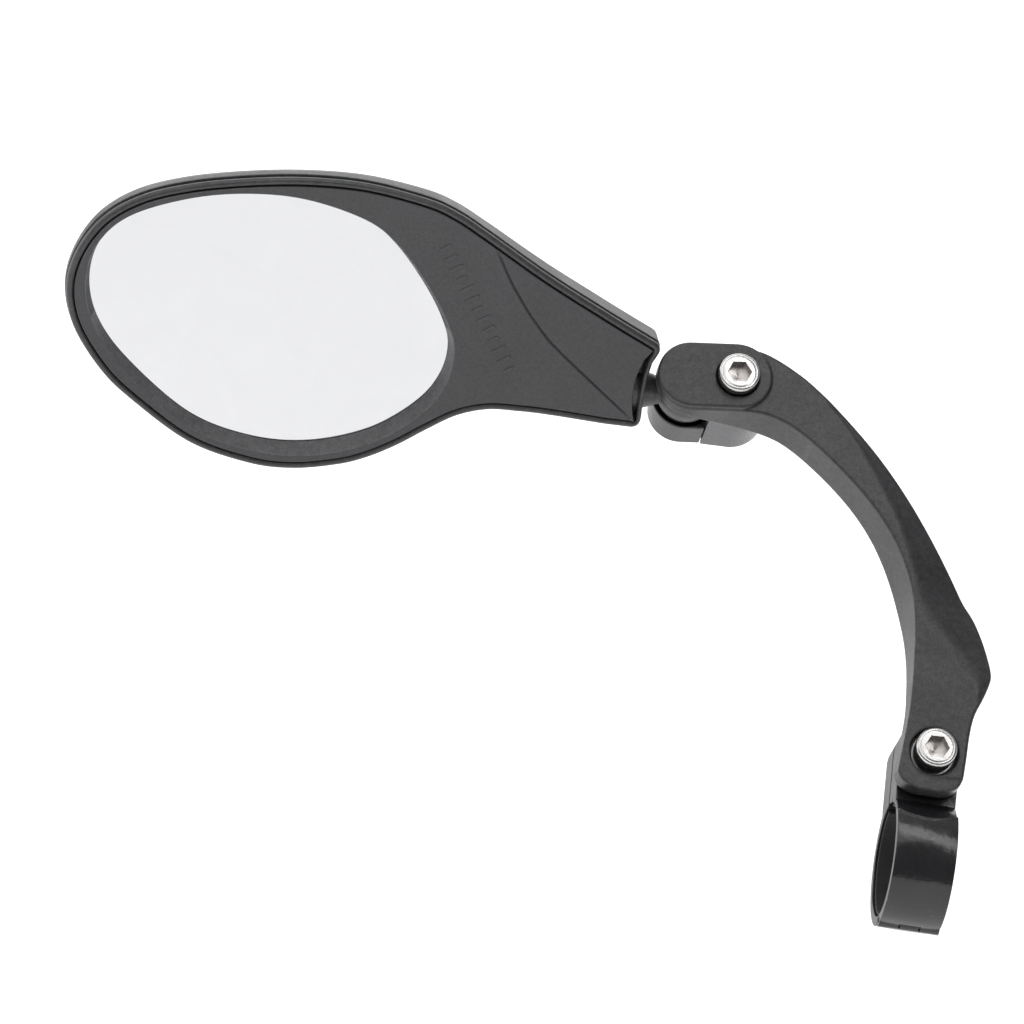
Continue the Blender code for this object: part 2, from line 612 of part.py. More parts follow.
# Room for the ball and the lower jaw.
boolean(arm, "DIFFERENCE", cutter("arm_ball_room", prism(circle(jaw(0.0, 0.0), 7.25, 40), -10.0, 8.4)))
socket = sphere(SOCKET_RADIUS, lambda a, b, c: arm_point(BALL[0] + a, BALL[1] + b, BALL[2] + c), 28, 14)
boolean(arm, "DIFFERENCE", cutter("arm_socket", socket))
mouth = loft(
    [
        [arm_point(*p, n) for p in circle((BALL[0], BALL[1]), r, 32)]
        for r, n in ((6.95, 5.0), (6.95, 7.9), (5.7, 10.3))
    ]
)
boolean(arm, "DIFFERENCE", cutter("arm_socket_mouth", mouth))
tongue_room = [jaw(-1.0, -6.05), *[jaw(a, b) for a, b in circle((JAW_LENGTH, 0.0), 6.05, 20, -90.0, 180.0)], jaw(-1.0, 6.05)]
boolean(arm, "DIFFERENCE", cutter("arm_tongue_room", prism(tongue_room, -10.0, LOWER_JAW_TOP + 0.5)))
boolean(arm, "DIFFERENCE", cutter("arm_upper_hole", prism(circle(UPPER_BOLT, M5_HOLE, 28), -12.0, 20.0)))
boolean(arm, "DIFFERENCE", cutter("arm_upper_counterbore", prism(circle(UPPER_BOLT, 4.7, 36), 11.0, 20.0)))
boolean(arm, "DIFFERENCE", cutter("arm_lower_hole", prism(circle(LOWER_BOLT, M5_HOLE, 28), 0.0, 20.0)))
boolean(arm, "DIFFERENCE", cutter("arm_lower_counterbore", prism(circle(LOWER_BOLT, 5.15, 36), 10.1, 20.0)))

# ---------------------------------------------------------------- lower jaw
cup_outline = [jaw(a, b) for a, b in circle((0.0, 0.0), LOWER_JAW_RADIUS, 24, 90.0, 180.0)] + [jaw(SLIT - 0.3, -LOWER_JAW_RADIUS), jaw(SLIT - 0.3, LOWER_JAW_RADIUS)]


def shrunk(outline, distance):
    points = [Vector(p) for p in outline]
    return [(p.x, p.y) for p in offset(points, distance)]


lower_jaw = solid(
    "lower_jaw",
    loft(
        [
            [arm_point(*p, LOWER_JAW_BOTTOM) for p in shrunk(cup_outline, 0.7)],
            [arm_point(*p, LOWER_JAW_BOTTOM + 0.6) for p in cup_outline],
            [arm_point(*p, LOWER_JAW_TOP - 0.4) for p in cup_outline],
            [arm_point(*p, LOWER_JAW_TOP) for p in shrunk(cup_outline, 0.3)],
        ]
    ),
    pivot=arm_point(*jaw(0, 0), BALL[2]),
    finish=JAW_PLASTIC,
)
tongue = [jaw(0.0, -TONGUE_RADIUS), *[jaw(a, b) for a, b in circle((JAW_LENGTH, 0.0), TONGUE_RADIUS, 20, -90.0, 180.0)], jaw(0.0, TONGUE_RADIUS)]
boolean(lower_jaw, "UNION", cutter("lower_jaw_tongue", prism(tongue, LOWER_JAW_BOTTOM + 0.25, LOWER_JAW_TOP - 0.05)))
boolean(lower_jaw, "DIFFERENCE", cutter("lower_jaw_socket", sphere(SOCKET_RADIUS, lambda a, b, c: arm_point(BALL[0] + a, BALL[1] + b, BALL[2] + c), 28, 14)))
boolean(lower_jaw, "DIFFERENCE", cutter("lower_jaw_hole", prism(circle(UPPER_BOLT, M5_HOLE, 28), -12.0, 8.0)))
boolean(lower_jaw, "DIFFERENCE", cutter("lower_jaw_nut_pocket", prism(hexagon(UPPER_BOLT, M5_NUT_AF + 0.5, jaw_angle), -12.0, -1.8)))


# ---------------------------------------------------------------- ball seats
def seat(name, start, end):
    """Thin spherical liner between two angles from the bolt direction."""
    steps, sides = 4, 24
    angles = [math.radians(start + (end - start) * i / steps) for i in range(steps + 1)]
    section = [(SEAT_OUTER * math.sin(a), SEAT_OUTER * math.cos(a)) for a in angles] + [(SEAT_INNER * math.sin(a), SEAT_INNER * math.cos(a)) for a in reversed(angles)]
    rings = [[arm_point(BALL[0] + r * math.cos(2 * math.pi * i / sides), BALL[1] + r * math.sin(2 * math.pi * i / sides), BALL[2] + n) for i in range(sides)] for r, n in section]
    rings.append(rings[0])
    mesh = loft(rings, caps=False)
    bmesh.ops.remove_doubles(mesh, verts=mesh.verts, dist=1e-7)
    return solid(name, mesh, pivot=arm_point(*BALL), finish=SEAT)


seat("ball_seat_upper", 16.0, 41.0)
seat("ball_seat_lower", 126.0, 162.0)

# ---------------------------------------------------------------- mirror head
OUTLINE, SPINE = head_outline()


def ring_at(inset, level):
    return [head_point(p.x, p.y, level) for p in offset(OUTLINE, inset)]


def housing_mesh():
    rings = [ring_at(0.75, FACE), ring_at(0.3, FACE - 0.12), ring_at(0.05, FACE - 0.45), ring_at(0.0, FACE - 1.1), ring_at(0.1, FACE - 1.4), ring_at(0.5, FACE - 1.55)]
    wall = offset(OUTLINE, 0.55)
    rings.append([head_point(p.x, p.y, side_depth(s.x)) for p, s in zip(wall, SPINE)])
    for t in (0.04, 0.14, 0.29, 0.5, 0.75, 1.0):
        bend = math.sqrt(1 - (1 - t) ** 2)
        ring = []
        for p, s in zip(wall, SPINE):
            q = p.lerp(s, t)
            top, deep = side_depth(s.x), back_depth(s.x)
            ring.append(head_point(q.x, q.y, top + (deep - top) * bend))
        rings.append(ring)
    mesh = bmesh.new()
    rows = [[mesh.verts.new(p) for p in ring] for ring in rings]
    count = len(rows[0])
    for near, far in zip(rows, rows[1:]):
        for i in range(count):
            j = (i + 1) % count
            mesh.faces.new((near[i], near[j], far[j], far[i]))
    mesh.faces.new(rows[0][::-1])
    bmesh.ops.remove_doubles(mesh, verts=mesh.verts, dist=2e-6)
    bmesh.ops.dissolve_degenerate(mesh, edges=mesh.edges, dist=1e-6)
    return mesh


housing = solid("rear_housing", housing_mesh(), HEAD, finish=HOUSING_PLASTIC)
origin_ball = lambda radius, sides, rings: sphere(radius, head_point, sides, rings)
boolean(housing, "DIFFERENCE", cutter("housing_end_room", origin_ball(END_CLEARANCE, 36, 18), HEAD))

window = spline(WINDOW, 3, closed=True)
panel_cut = prism([(p.x, p.y) for p in offset(OUTLINE, RIM - 0.15)], 3.2, FACE + 2.0, head_point)
panel_pocket = cutter("housing_panel_pocket", panel_cut, HEAD)
boolean(panel_pocket, "DIFFERENCE", cutter("housing_end_rim", origin_ball(13.1, 36, 18), HEAD))
boolean(housing, "DIFFERENCE", panel_pocket)
lens_pocket = prism([(p.x, p.y) for p in offset(window, -1.05)], -1.2, FACE + 1.5, head_point)
boolean(housing, "DIFFERENCE", cutter("housing_lens_pocket", lens_pocket, HEAD))
centre = Vector((-89.0, 17.5))


def hollow_ring(scale, level):
    return [head_point(*(centre + (p - centre) * scale), level) for p in offset(window, 2.2)]


hollow = loft([hollow_ring(1.0, 0.5), hollow_ring(1.0, -1.6), hollow_ring(0.93, -3.4), hollow_ring(0.8, -4.9), hollow_ring(0.55, -6.0), hollow_ring(0.25, -6.4)])
boolean(housing, "DIFFERENCE", cutter("housing_hollow", hollow, HEAD))
pocket = [(-46.0, 4.5), (-26.0, 2.0), (-22.0, 9.0), (-26.0, 17.5), (-38.0, 27.0), (-46.0, 31.5), (-48.5, 22.0), (-47.0, 12.0)]
boolean(housing, "DIFFERENCE", cutter("housing_neck_hollow", loft([[head_point(a, b, 4.0) for a, b in pocket], [head_point(a, b, -1.2) for a, b in pocket], [head_point(-36.0 + (a + 36.0) * 0.75, 14.0 + (b - 14.0) * 0.75, -2.6) for a, b in pocket]]), HEAD))


# The neck runs from inside the housing to the ball and is one moulding with both.
def neck_ring(u, high, deep, sides=20):
    rise = -0.06 * u
    return [head_point(u, rise + high * math.cos(2 * math.pi * i / sides), deep * math.sin(2 * math.pi * i / sides)) for i in range(sides)]


neck = loft([neck_ring(-17.0, 3.9, 2.8), neck_ring(-12.5, 4.2, 3.6), neck_ring(-10.5, 4.0, 3.5), neck_ring(-8.8, 3.9, 3.4), neck_ring(-7.9, 3.7, 3.2), neck_ring(-7.1, 3.1, 3.05), neck_ring(-3.0, 3.0, 3.0)])
boolean(housing, "UNION", cutter("housing_neck", neck, HEAD))
boolean(housing, "UNION", cutter("housing_ball", origin_ball(BALL_RADIUS, 24, 16), HEAD))

# Front panel, with a short wall round the window that holds the mirror glass.
bezel_plate = prism([(p.x, p.y) for p in offset(OUTLINE, RIM + 0.15)], 3.45, FACE, head_point)
bezel = solid("front_bezel", bezel_plate, HEAD, finish=PANEL_PLASTIC)
boolean(bezel, "DIFFERENCE", cutter("bezel_end_room", origin_ball(13.5, 36, 18), HEAD))
boolean(bezel, "UNION", cutter("bezel_wall", prism([(p.x, p.y) for p in offset(window, -0.75)], LENS_FRONT + 0.15, 4.2, head_point), HEAD))
outer_window = offset(window, -WINDOW_DRAFT * 0.2)
opening = loft(
    [
        [head_point(p.x, p.y, 0.0) for p in offset(window, WINDOW_DRAFT * 1.31)],
        [head_point(p.x, p.y, LENS_FRONT + 0.1) for p in offset(window, WINDOW_DRAFT)],
        [head_point(p.x, p.y, FACE - 0.25) for p in offset(window, 0.1)],
        [head_point(p.x, p.y, FACE + 0.5) for p in offset(window, -0.35)],
    ]
)
boolean(bezel, "DIFFERENCE", cutter("bezel_window", opening, HEAD))

lens_outline = offset(window, -0.65)
lens = loft(
    [
        [head_point(p.x, p.y, LENS_FRONT - LENS_THICKNESS) for p in lens_outline],
        [head_point(p.x, p.y, LENS_FRONT) for p in lens_outline],
    ]
)
solid("mirror_lens", lens, HEAD, finish=MIRROR)
pad = prism([(p.x, p.y) for p in offset(window, 0.6)], -1.05, LENS_FRONT - LENS_THICKNESS - 0.15, head_point)
solid("lens_adhesive_pad", pad, HEAD, finish=PAD)
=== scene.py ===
"""Looks of the handlebar mirror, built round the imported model."""

import math

import bmesh
import bpy
from mathutils import Matrix, Vector
from mathutils.kdtree import KDTree


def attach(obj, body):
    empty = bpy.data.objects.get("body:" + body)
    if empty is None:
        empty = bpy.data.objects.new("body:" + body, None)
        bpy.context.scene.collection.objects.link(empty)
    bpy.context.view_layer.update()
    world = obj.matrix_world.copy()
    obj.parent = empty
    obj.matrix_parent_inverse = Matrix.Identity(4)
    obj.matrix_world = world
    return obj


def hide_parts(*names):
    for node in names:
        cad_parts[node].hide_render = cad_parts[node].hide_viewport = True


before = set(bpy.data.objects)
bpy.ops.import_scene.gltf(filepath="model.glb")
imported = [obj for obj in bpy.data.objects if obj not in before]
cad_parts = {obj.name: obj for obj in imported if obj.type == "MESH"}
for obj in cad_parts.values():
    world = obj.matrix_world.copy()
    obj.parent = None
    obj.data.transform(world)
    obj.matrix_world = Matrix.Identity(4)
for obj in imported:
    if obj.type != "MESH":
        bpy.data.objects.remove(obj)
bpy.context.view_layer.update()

# ---------------------------------------------------------------- camera first
scene = bpy.context.scene
camera_data = bpy.data.cameras.new("camera")
camera = bpy.data.objects.new("camera", camera_data)
scene.collection.objects.link(camera)
camera_data.lens = 158.2
camera_data.sensor_width = 36.0
camera_data.clip_start, camera_data.clip_end = 0.05, 40.0
back = Vector((-0.060, -0.923, 0.381)).normalized()
up = Vector((-0.151, 0.386, 0.910))
right = up.cross(back).normalized()
up = back.cross(right).normalized()
camera.matrix_world = Matrix(
    (
        (right.x, up.x, back.x, -0.1484),
        (right.y, up.y, back.y, -0.8284),
        (right.z, up.z, back.z, 0.4059),
        (0.0, 0.0, 0.0, 1.0),
    )
)
scene.camera = camera

# ---------------------------------------------------------------- dimensions, mm
BAR_RADIUS = 11.1
CLAMP_WIDTH = 12.6
CLAMP_RADIUS = 14.1
CLAMP_WAIST_RADIUS = 13.05
CLAMP_BORE_RADIUS = 11.9
LINER_OUTER_RADIUS = 11.8
CLAMP_SPLIT = 0.45
EAR_THICKNESS = 7.25
EAR_TOP = 23.3
HINGE_DROP, KNUCKLE_RADIUS, PIN_RADIUS = 13.15, 1.45, 0.55
LOWER_BOLT = (0.0, 20.3)
BALL = (-58.3, 95.2, 5.5)
UPPER_BOLT = (-48.8, 96.42)
BALL_RADIUS = 6.55
SEAT_INNER, SEAT_OUTER, SOCKET_RADIUS = 6.65, 6.9, 7.05
FACE = 5.0
LENS_FRONT, LENS_THICKNESS = 1.2, 1.6

LEAN_FRAME = Matrix.Rotation(math.radians(-45.0), 4, "X")
BALL_CENTRE = LEAN_FRAME @ (Vector((BALL[0], -BALL[2], BALL[1])) * 0.001)
HEAD_FRAME = (
    Matrix.Translation(BALL_CENTRE)
    @ Matrix.Rotation(math.radians(6.9), 4, "Z")
    @ Matrix.Rotation(math.radians(3.8), 4, "X")
    @ Matrix.Rotation(math.radians(-6.7), 4, "Y")
)
JAW_X = Vector((UPPER_BOLT[0] - BALL[0], UPPER_BOLT[1] - BALL[1])).normalized()
JAW_LENGTH = math.hypot(UPPER_BOLT[0] - BALL[0], UPPER_BOLT[1] - BALL[1])


def P(x, z, n):
    """A point x along the bar, z up the arm, n out along the bolts."""
    return Vector((x, -n, z))


def H(u, v, w):
    """A point u along the neck, v up, w out of the mirror face."""
    return Vector((u, -w, v))


def jaw(along, across):
    return (BALL[0] + along * JAW_X.x - across * JAW_X.y, BALL[1] + along * JAW_X.y + across * JAW_X.x)


# ---------------------------------------------------------------- mesh helpers
def make(name, mesh):
    bmesh.ops.recalc_face_normals(mesh, faces=mesh.faces)
    data = bpy.data.meshes.new(name)
    mesh.to_mesh(data)
    mesh.free()
    made = bpy.data.objects.new(name, data)
    scene.collection.objects.link(made)
    return made


def apply(obj):
    bpy.context.view_layer.update()
    graph = bpy.context.evaluated_depsgraph_get()
    new = bpy.data.meshes.new_from_object(obj.evaluated_get(graph), depsgraph=graph)
    old = obj.data
    obj.modifiers.clear()
    obj.data = new
    bpy.data.meshes.remove(old)
    return obj


def boolean(obj, operation, mesh):
    tool = make("tool", mesh)
    step = obj.modifiers.new("step", "BOOLEAN")
    step.operation = operation
    step.object = tool
    step.solver = "EXACT"
    apply(obj)
    data = tool.data
    bpy.data.objects.remove(tool, do_unlink=True)
    bpy.data.meshes.remove(data)
    return obj


def cut(obj, mesh):
    return boolean(obj, "DIFFERENCE", mesh)


def join(obj, mesh):
    return boolean(obj, "UNION", mesh)


def bevel(obj, width, segments=2, angle=30.0):
    step = obj.modifiers.new("bevel", "BEVEL")
    step.width = width
    step.segments = segments
    step.limit_method = "ANGLE"
    step.angle_limit = math.radians(angle)
    step.miter_outer = "MITER_ARC"
    return apply(obj)


def soften(obj, voxel, passes=3, factor=0.5):
    """Even, fine mesh with the small radii that a moulding or a casting has along every edge."""
    step = obj.modifiers.new("even", "REMESH")
    step.mode = "VOXEL"
    step.voxel_size = voxel
    step.adaptivity = 0.0
    smooth = obj.modifiers.new("smooth", "SMOOTH")
    smooth.factor = factor
    smooth.iterations = passes
    return apply(obj)


def grid(obj, step):
    """Cuts the long flat faces of the head into squares, which shade evenly."""
    mesh = bmesh.new()
    mesh.from_mesh(obj.data)
    for axis in (0, 2):
        low = min(v.co[axis] for v in mesh.verts)
        high = max(v.co[axis] for v in mesh.verts)
        at = low + step * 0.613
        while at < high:
            where, normal = Vector((0, 0, 0)), Vector((0, 0, 0))
            where[axis], normal[axis] = at, 1.0
            faces = [f for f in mesh.faces if f.calc_area() > step * 0.6]
            around = {e for f in faces for e in f.edges} | {v for f in faces for v in f.verts}
            bmesh.ops.bisect_plane(mesh, geom=[*faces, *around], dist=1e-5, plane_co=where, plane_no=normal)
            at += step
    mesh.to_mesh(obj.data)
    mesh.free()
    return obj


def loft(rings, caps=True):
    mesh = bmesh.new()
    rows = [[mesh.verts.new(p) for p in ring] for ring in rings]
    count = len(rows[0])
    for near, far in zip(rows, rows[1:]):
        for i in range(count):
            j = (i + 1) % count
            mesh.faces.new((near[i], near[j], far[j], far[i]))
    if caps:
        mesh.faces.new(rows[0][::-1])
        mesh.faces.new(rows[-1])
    return mesh


def prism(outline, low, high, point=P):
    return loft([[point(a, b, low) for a, b in outline], [point(a, b, high) for a, b in outline]])


def turned(profile, centre, sides=96, point=P, turn=0.0, caps=True):
    rings = []
    for radius, level in profile:
        rings.append(
            [
                point(
                    centre[0] + radius * math.cos(turn + 2 * math.pi * i / sides),
                    centre[1] + radius * math.sin(turn + 2 * math.pi * i / sides),
                    level,
                )
                for i in range(sides)
            ]
        )
    return loft(rings, caps)


def ring_solid(section, centre, sides=96):
    """A closed section of radius, level pairs turned into a ring."""
    rings = [[P(centre[0] + r * math.cos(2 * math.pi * i / sides), centre[1] + r * math.sin(2 * math.pi * i / sides), n) for i in range(sides)] for r, n in section]
    rings.append(rings[0])
    mesh = loft(rings, caps=False)
    bmesh.ops.remove_doubles(mesh, verts=mesh.verts, dist=1e-5)
    return mesh


def circle(centre, radius, sides=96, start=0.0, sweep=360.0):
    count = sides if sweep >= 360.0 else sides + 1
    return [
        (
            centre[0] + radius * math.cos(math.radians(start + sweep * i / sides)),
            centre[1] + radius * math.sin(math.radians(start + sweep * i / sides)),
        )
        for i in range(count)
    ]


def hexagon(centre, across_flats, turn=0.0):
    return circle(centre, across_flats / math.sqrt(3.0), 6, turn)


def spline(points, count, closed=False):
    total = len(points)
    spans = total if closed else total - 1
    out = []
    for i in range(spans):
        if closed:
            p = [Vector(points[(i + k - 1) % total]) for k in range(4)]
        else:
            p = [Vector(points[min(max(i + k - 1, 0), total - 1)]) for k in range(4)]
        for k in range(count):
            t = k / count
            out.append(0.5 * (2 * p[1] + (p[2] - p[0]) * t + (2 * p[0] - 5 * p[1] + 4 * p[2] - p[3]) * t * t + (3 * p[1] - p[0] - 3 * p[2] + p[3]) * t * t * t))
    if not closed:
        out.append(Vector(points[-1]))
    return out


def spline_rows(rows, count):
    """The same curve through rows of any length."""
    total = len(rows)
    out = []
    for i in range(total - 1):
        p = [rows[min(max(i + k - 1, 0), total - 1)] for k in range(4)]
        for k in range(count):
            t = k / count
            out.append([0.5 * (2 * b + (c - a) * t + (2 * a - 5 * b + 4 * c - d) * t * t + (3 * b - a - 3 * c + d) * t * t * t) for a, b, c, d in zip(*p)])
    out.append(list(rows[-1]))
    return out


def resample(points, count):
    lengths = [0.0]
    for a, b in zip(points, points[1:]):
        lengths.append(lengths[-1] + (b - a).length)
    out = []
    k = 0
    for i in range(count):
        want = lengths[-1] * i / (count - 1)
        while k < len(points) - 2 and lengths[k + 1] < want:
            k += 1
        span = lengths[k + 1] - lengths[k]
        out.append(points[k].lerp(points[k + 1], (want - lengths[k]) / span if span else 0.0))
    return out


def offset(points, distance):
    """A counter-clockwise closed outline moved inwards, by one distance or by one for each point."""
    out = []
    total = len(points)
    for i in range(total):
        a, b, c = points[i - 1], points[i], points[(i + 1) % total]
        first = Vector((b - a).normalized())
        second = Vector((c - b).normalized())
        one = Vector((-first.y, first.x))
        two = Vector((-second.y, second.x))
        mean = (one + two).normalized()
        d = distance[i] if isinstance(distance, list) else distance
        out.append(b + mean * (d / max(0.5, mean.dot(one))))
    return out


def fillet(before, corner, after, radius, sides):
    one = (before - corner).normalized()
    two = (after - corner).normalized()
    half = one.angle(two) / 2
    reach = radius / math.tan(half)
    middle = corner + (one + two).normalized() * (radius / math.sin(half))
    start = corner + one * reach - middle
    end = corner + two * reach - middle
    sweep = start.angle_signed(end)
    out = []
    for i in range(sides + 1):
        a = -sweep * i / sides
        out.append(middle + Vector((start.x * math.cos(a) - start.y * math.sin(a), start.x * math.sin(a) + start.y * math.cos(a))))
    return out


def ramp(value, low, high):
    t = min(1.0, max(0.0, (value - low) / (high - low)))
    return t * t * (3 - 2 * t)


def ball_mesh(radius, point, sides=96, rings=64):
    rows = []
    for k in range(1, rings):
        a = math.pi * k / rings
        rows.append([point(radius * math.sin(a) * math.cos(2 * math.pi * i / sides), radius * math.sin(a) * math.sin(2 * math.pi * i / sides), radius * math.cos(a)) for i in range(sides)])
    mesh = loft(rows, caps=False)
    mesh.verts.ensure_lookup_table()
    first, last = mesh.verts.new(point(0, 0, radius)), mesh.verts.new(point(0, 0, -radius))
    mesh.verts.ensure_lookup_table()
    for i in range(sides):
        j = (i + 1) % sides
        mesh.faces.new((first, mesh.verts[j], mesh.verts[i]))
        mesh.faces.new((last, mesh.verts[sides * (rings - 2) + i], mesh.verts[sides * (rings - 2) + j]))
    return mesh


def at_ball(a, b, c):
    return P(BALL[0] + a, BALL[1] + b, BALL[2] + c)


def stadium(start, end, radius, shift=0.0, sides=48):
    points = circle((start, shift), radius, sides, 90.0, 180.0) + circle((end, shift), radius, sides, -90.0, 180.0)
    return [jaw(a, b) for a, b in points]


# ---------------------------------------------------------------- material helpers
class Nodes:
    """Short ways to wire a procedural material."""

    def __init__(self, name):
        self.material = bpy.data.materials.new(name)
        self.material.use_nodes = True
        self.tree = self.material.node_tree
        self.shader = self.tree.nodes["Principled BSDF"]
        self.object = self.tree.nodes.new("ShaderNodeTexCoord").outputs["Object"]

    def new(self, kind, **values):
        node = self.tree.nodes.new(kind)
        for key, value in values.items():
            setattr(node, key, value)
        return node

    def link(self, a, b):
        self.tree.links.new(a, b)

    def noise(self, scale, detail=3.0, rough=0.5, source=None, distortion=0.0):
        node = self.new("ShaderNodeTexNoise")
        node.inputs["Scale"].default_value = scale
        node.inputs["Detail"].default_value = detail
        node.inputs["Roughness"].default_value = rough
        node.inputs["Distortion"].default_value = distortion
        self.link(source or self.object, node.inputs["Vector"])
        return node.outputs["Fac"]

    def cells(self, scale, source=None):
        node = self.new("ShaderNodeTexVoronoi", feature="F1")
        node.inputs["Scale"].default_value = scale
        self.link(source or self.object, node.inputs["Vector"])
        return node.outputs["Distance"]

    def stretched(self, x, y, z):
        node = self.new("ShaderNodeMapping")
        node.inputs["Scale"].default_value = (x, y, z)
        self.link(self.object, node.inputs["Vector"])
        return node.outputs["Vector"]

    def range(self, value, low, high, to_low, to_high):
        node = self.new("ShaderNodeMapRange")
        node.inputs["From Min"].default_value = low
        node.inputs["From Max"].default_value = high
        node.inputs["To Min"].default_value = to_low
        node.inputs["To Max"].default_value = to_high
        self.link(value, node.inputs["Value"])
        return node.outputs["Result"]

    def math(self, operation, a, b=None):
        node = self.new("ShaderNodeMath", operation=operation)
        for i, value in enumerate((a, b)):
            if value is None:
                continue
            if isinstance(value, (int, float)):
                node.inputs[i].default_value = value
            else:
                self.link(value, node.inputs[i])
        return node.outputs["Value"]

    def mix(self, factor, one, two):
        node = self.new("ShaderNodeMix", data_type="RGBA")
        for socket, value in ((node.inputs[0], factor), (node.inputs[6], one), (node.inputs[7], two)):
            if isinstance(value, tuple):
                socket.default_value = (*value, 1.0)
            elif isinstance(value, (int, float)):
                socket.default_value = value
            else:
                self.link(value, socket)
        return node.outputs[2]

    def bump(self, height, distance, strength=1.0, below=None):
        node = self.new("ShaderNodeBump")
        node.inputs["Strength"].default_value = strength
        node.inputs["Distance"].default_value = distance
        self.link(height, node.inputs["Height"])
        if below is not None:
            self.link(below, node.inputs["Normal"])
        return node.outputs["Normal"]

    def edges(self, low, high):
        """1 on outer edges and 0 elsewhere."""
        geometry = self.new("ShaderNodeNewGeometry")
        return self.range(geometry.outputs["Pointiness"], low, high, 0.0, 1.0)

    def colour(self, value):
        self.link(value, self.shader.inputs["Base Color"])

    def roughness(self, value):
        self.link(value, self.shader.inputs["Roughness"])

    def normal(self, value):
        self.link(value, self.shader.inputs["Normal"])


def plastic(name, dark, light, rough, grain=0.30, depth=0.010, level=0.5, wear_and_glint=0.25, fleck=0.45, wear_and_glint_range=(0.515, 0.575)):
    """Moulded plastic with an eroded texture: grain is the size of its grains and depth their height, in mm. Outer
    edges are lightened, partly as wear and partly as a painted highlight.
    """
    m = Nodes(name)
    fine = m.noise(1000.0 / grain, 2.0, 0.6)
    mid = m.noise(1000.0 / (grain * 3.2), 3.0, 0.55)
    wide = m.noise(34.0, 4.0, 0.6)
    patch = m.noise(130.0, 3.0, 0.5, distortion=0.4)
    tone = m.mix(m.range(wide, 0.35, 0.65, 0.0, 1.0), dark, light)
    speck = m.range(m.math("ADD", m.math("MULTIPLY", fine, 0.55), m.math("MULTIPLY", mid, 0.45)), 0.34, 0.66, 1.0 - fleck, 1.0 + fleck)
    scaled = m.new("ShaderNodeMix", data_type="RGBA", blend_type="MULTIPLY")
    scaled.inputs[0].default_value = 1.0
    m.link(tone, scaled.inputs[6])
    grey = m.new("ShaderNodeCombineColor")
    for k in range(3):
        m.link(speck, grey.inputs[k])
    m.link(grey.outputs[0], scaled.inputs[7])
    # Painted highlight: outer edges are lightened towards a pale grey, partly as wear and partly standing in for the
    # glint of light along them.
    edge = m.edges(*wear_and_glint_range)
    wear_and_glint_colour = tuple(min(1.0, c * 3.2 + 0.03) for c in light)
    m.colour(m.mix(m.math("MULTIPLY", edge, wear_and_glint), scaled.outputs[2], wear_and_glint_colour))
    base = m.range(patch, 0.3, 0.7, rough - 0.035, rough + 0.045)
    base = m.math("ADD", base, m.range(fine, 0.3, 0.7, 0.03, -0.03))
    m.roughness(m.math("SUBTRACT", base, m.math("MULTIPLY", edge, 0.10)))
    first = m.bump(mid, depth * 0.0022, 0.6)
    m.normal(m.bump(fine, depth * 0.001, 1.0, first))
    m.shader.inputs["Specular IOR Level"].default_value = level
    return m.material


def gloss_black(name):
    """Black lacquer over cast metal, with the slight waviness of a sprayed coat."""
    m = Nodes(name)
    wave = m.noise(260.0, 2.0, 0.5)
    peel = m.noise(950.0, 2.0, 0.5)
    dust = m.noise(5200.0, 1.0, 0.5)
    wide = m.noise(60.0, 3.0, 0.6)
    edge = m.edges(0.57, 0.68)
    body = m.mix(m.range(wide, 0.35, 0.65, 0.0, 1.0), (0.009, 0.009, 0.0102), (0.015, 0.015, 0.0167))
    m.colour(m.mix(m.math("MULTIPLY", edge, 0.55), body, (0.34, 0.34, 0.35)))
    rough = m.range(peel, 0.3, 0.7, 0.13, 0.21)
    m.roughness(m.math("ADD", rough, m.range(dust, 0.45, 0.75, 0.0, 0.10)))
    first = m.bump(wave, 0.00022, 0.5)
    second = m.bump(peel, 0.00004, 0.8, first)
    m.normal(m.bump(dust, 0.000004, 0.6, second))
    m.shader.inputs["Specular IOR Level"].default_value = 0.45
    m.shader.inputs["Coat Weight"].default_value = 0.25
    m.shader.inputs["Coat Roughness"].default_value = 0.08
    return m.material


def turned_metal(name, colour, rough, pitch=0.16, depth=0.004, tint=(0.62, 0.57, 0.50)):
    """Plated steel with fine rings left by the lathe about the leaning bolt axis."""
    m = Nodes(name)
    upright = m.new("ShaderNodeMapping")
    upright.inputs["Rotation"].default_value = (math.radians(45.0), 0.0, 0.0)
    m.link(m.object, upright.inputs["Vector"])
    split = m.new("ShaderNodeSeparateXYZ")
    m.link(upright.outputs["Vector"], split.inputs[0])
    x, z = split.outputs["X"], split.outputs["Z"]
    radius = m.math("SQRT", m.math("ADD", m.math("MULTIPLY", x, x), m.math("MULTIPLY", z, z)))
    wander = m.noise(900.0, 2.0, 0.5)
    phase = m.math("ADD", m.math("MULTIPLY", radius, 6283.0 / pitch), m.math("MULTIPLY", wander, 5.0))
    rings = m.math("SINE", phase)
    fine = m.noise(4200.0, 2.0, 0.6)
    wide = m.noise(420.0, 3.0, 0.6)
    spots = m.range(m.noise(1500.0, 2.0, 0.5), 0.58, 0.78, 0.0, 1.0)
    tone = m.mix(m.range(wide, 0.35, 0.7, 0.0, 1.0), colour, tuple(c * 0.86 for c in colour))
    m.colour(m.mix(m.math("MULTIPLY", spots, 0.35), tone, tint))
    base = m.range(wide, 0.3, 0.7, rough - 0.04, rough + 0.07)
    m.roughness(m.math("ADD", base, m.math("MULTIPLY", rings, 0.02)))
    first = m.bump(rings, depth * 0.001, 0.5)
    m.normal(m.bump(fine, 0.000004, 0.5, first))
    m.shader.inputs["Metallic"].default_value = 1.0
    return m.material


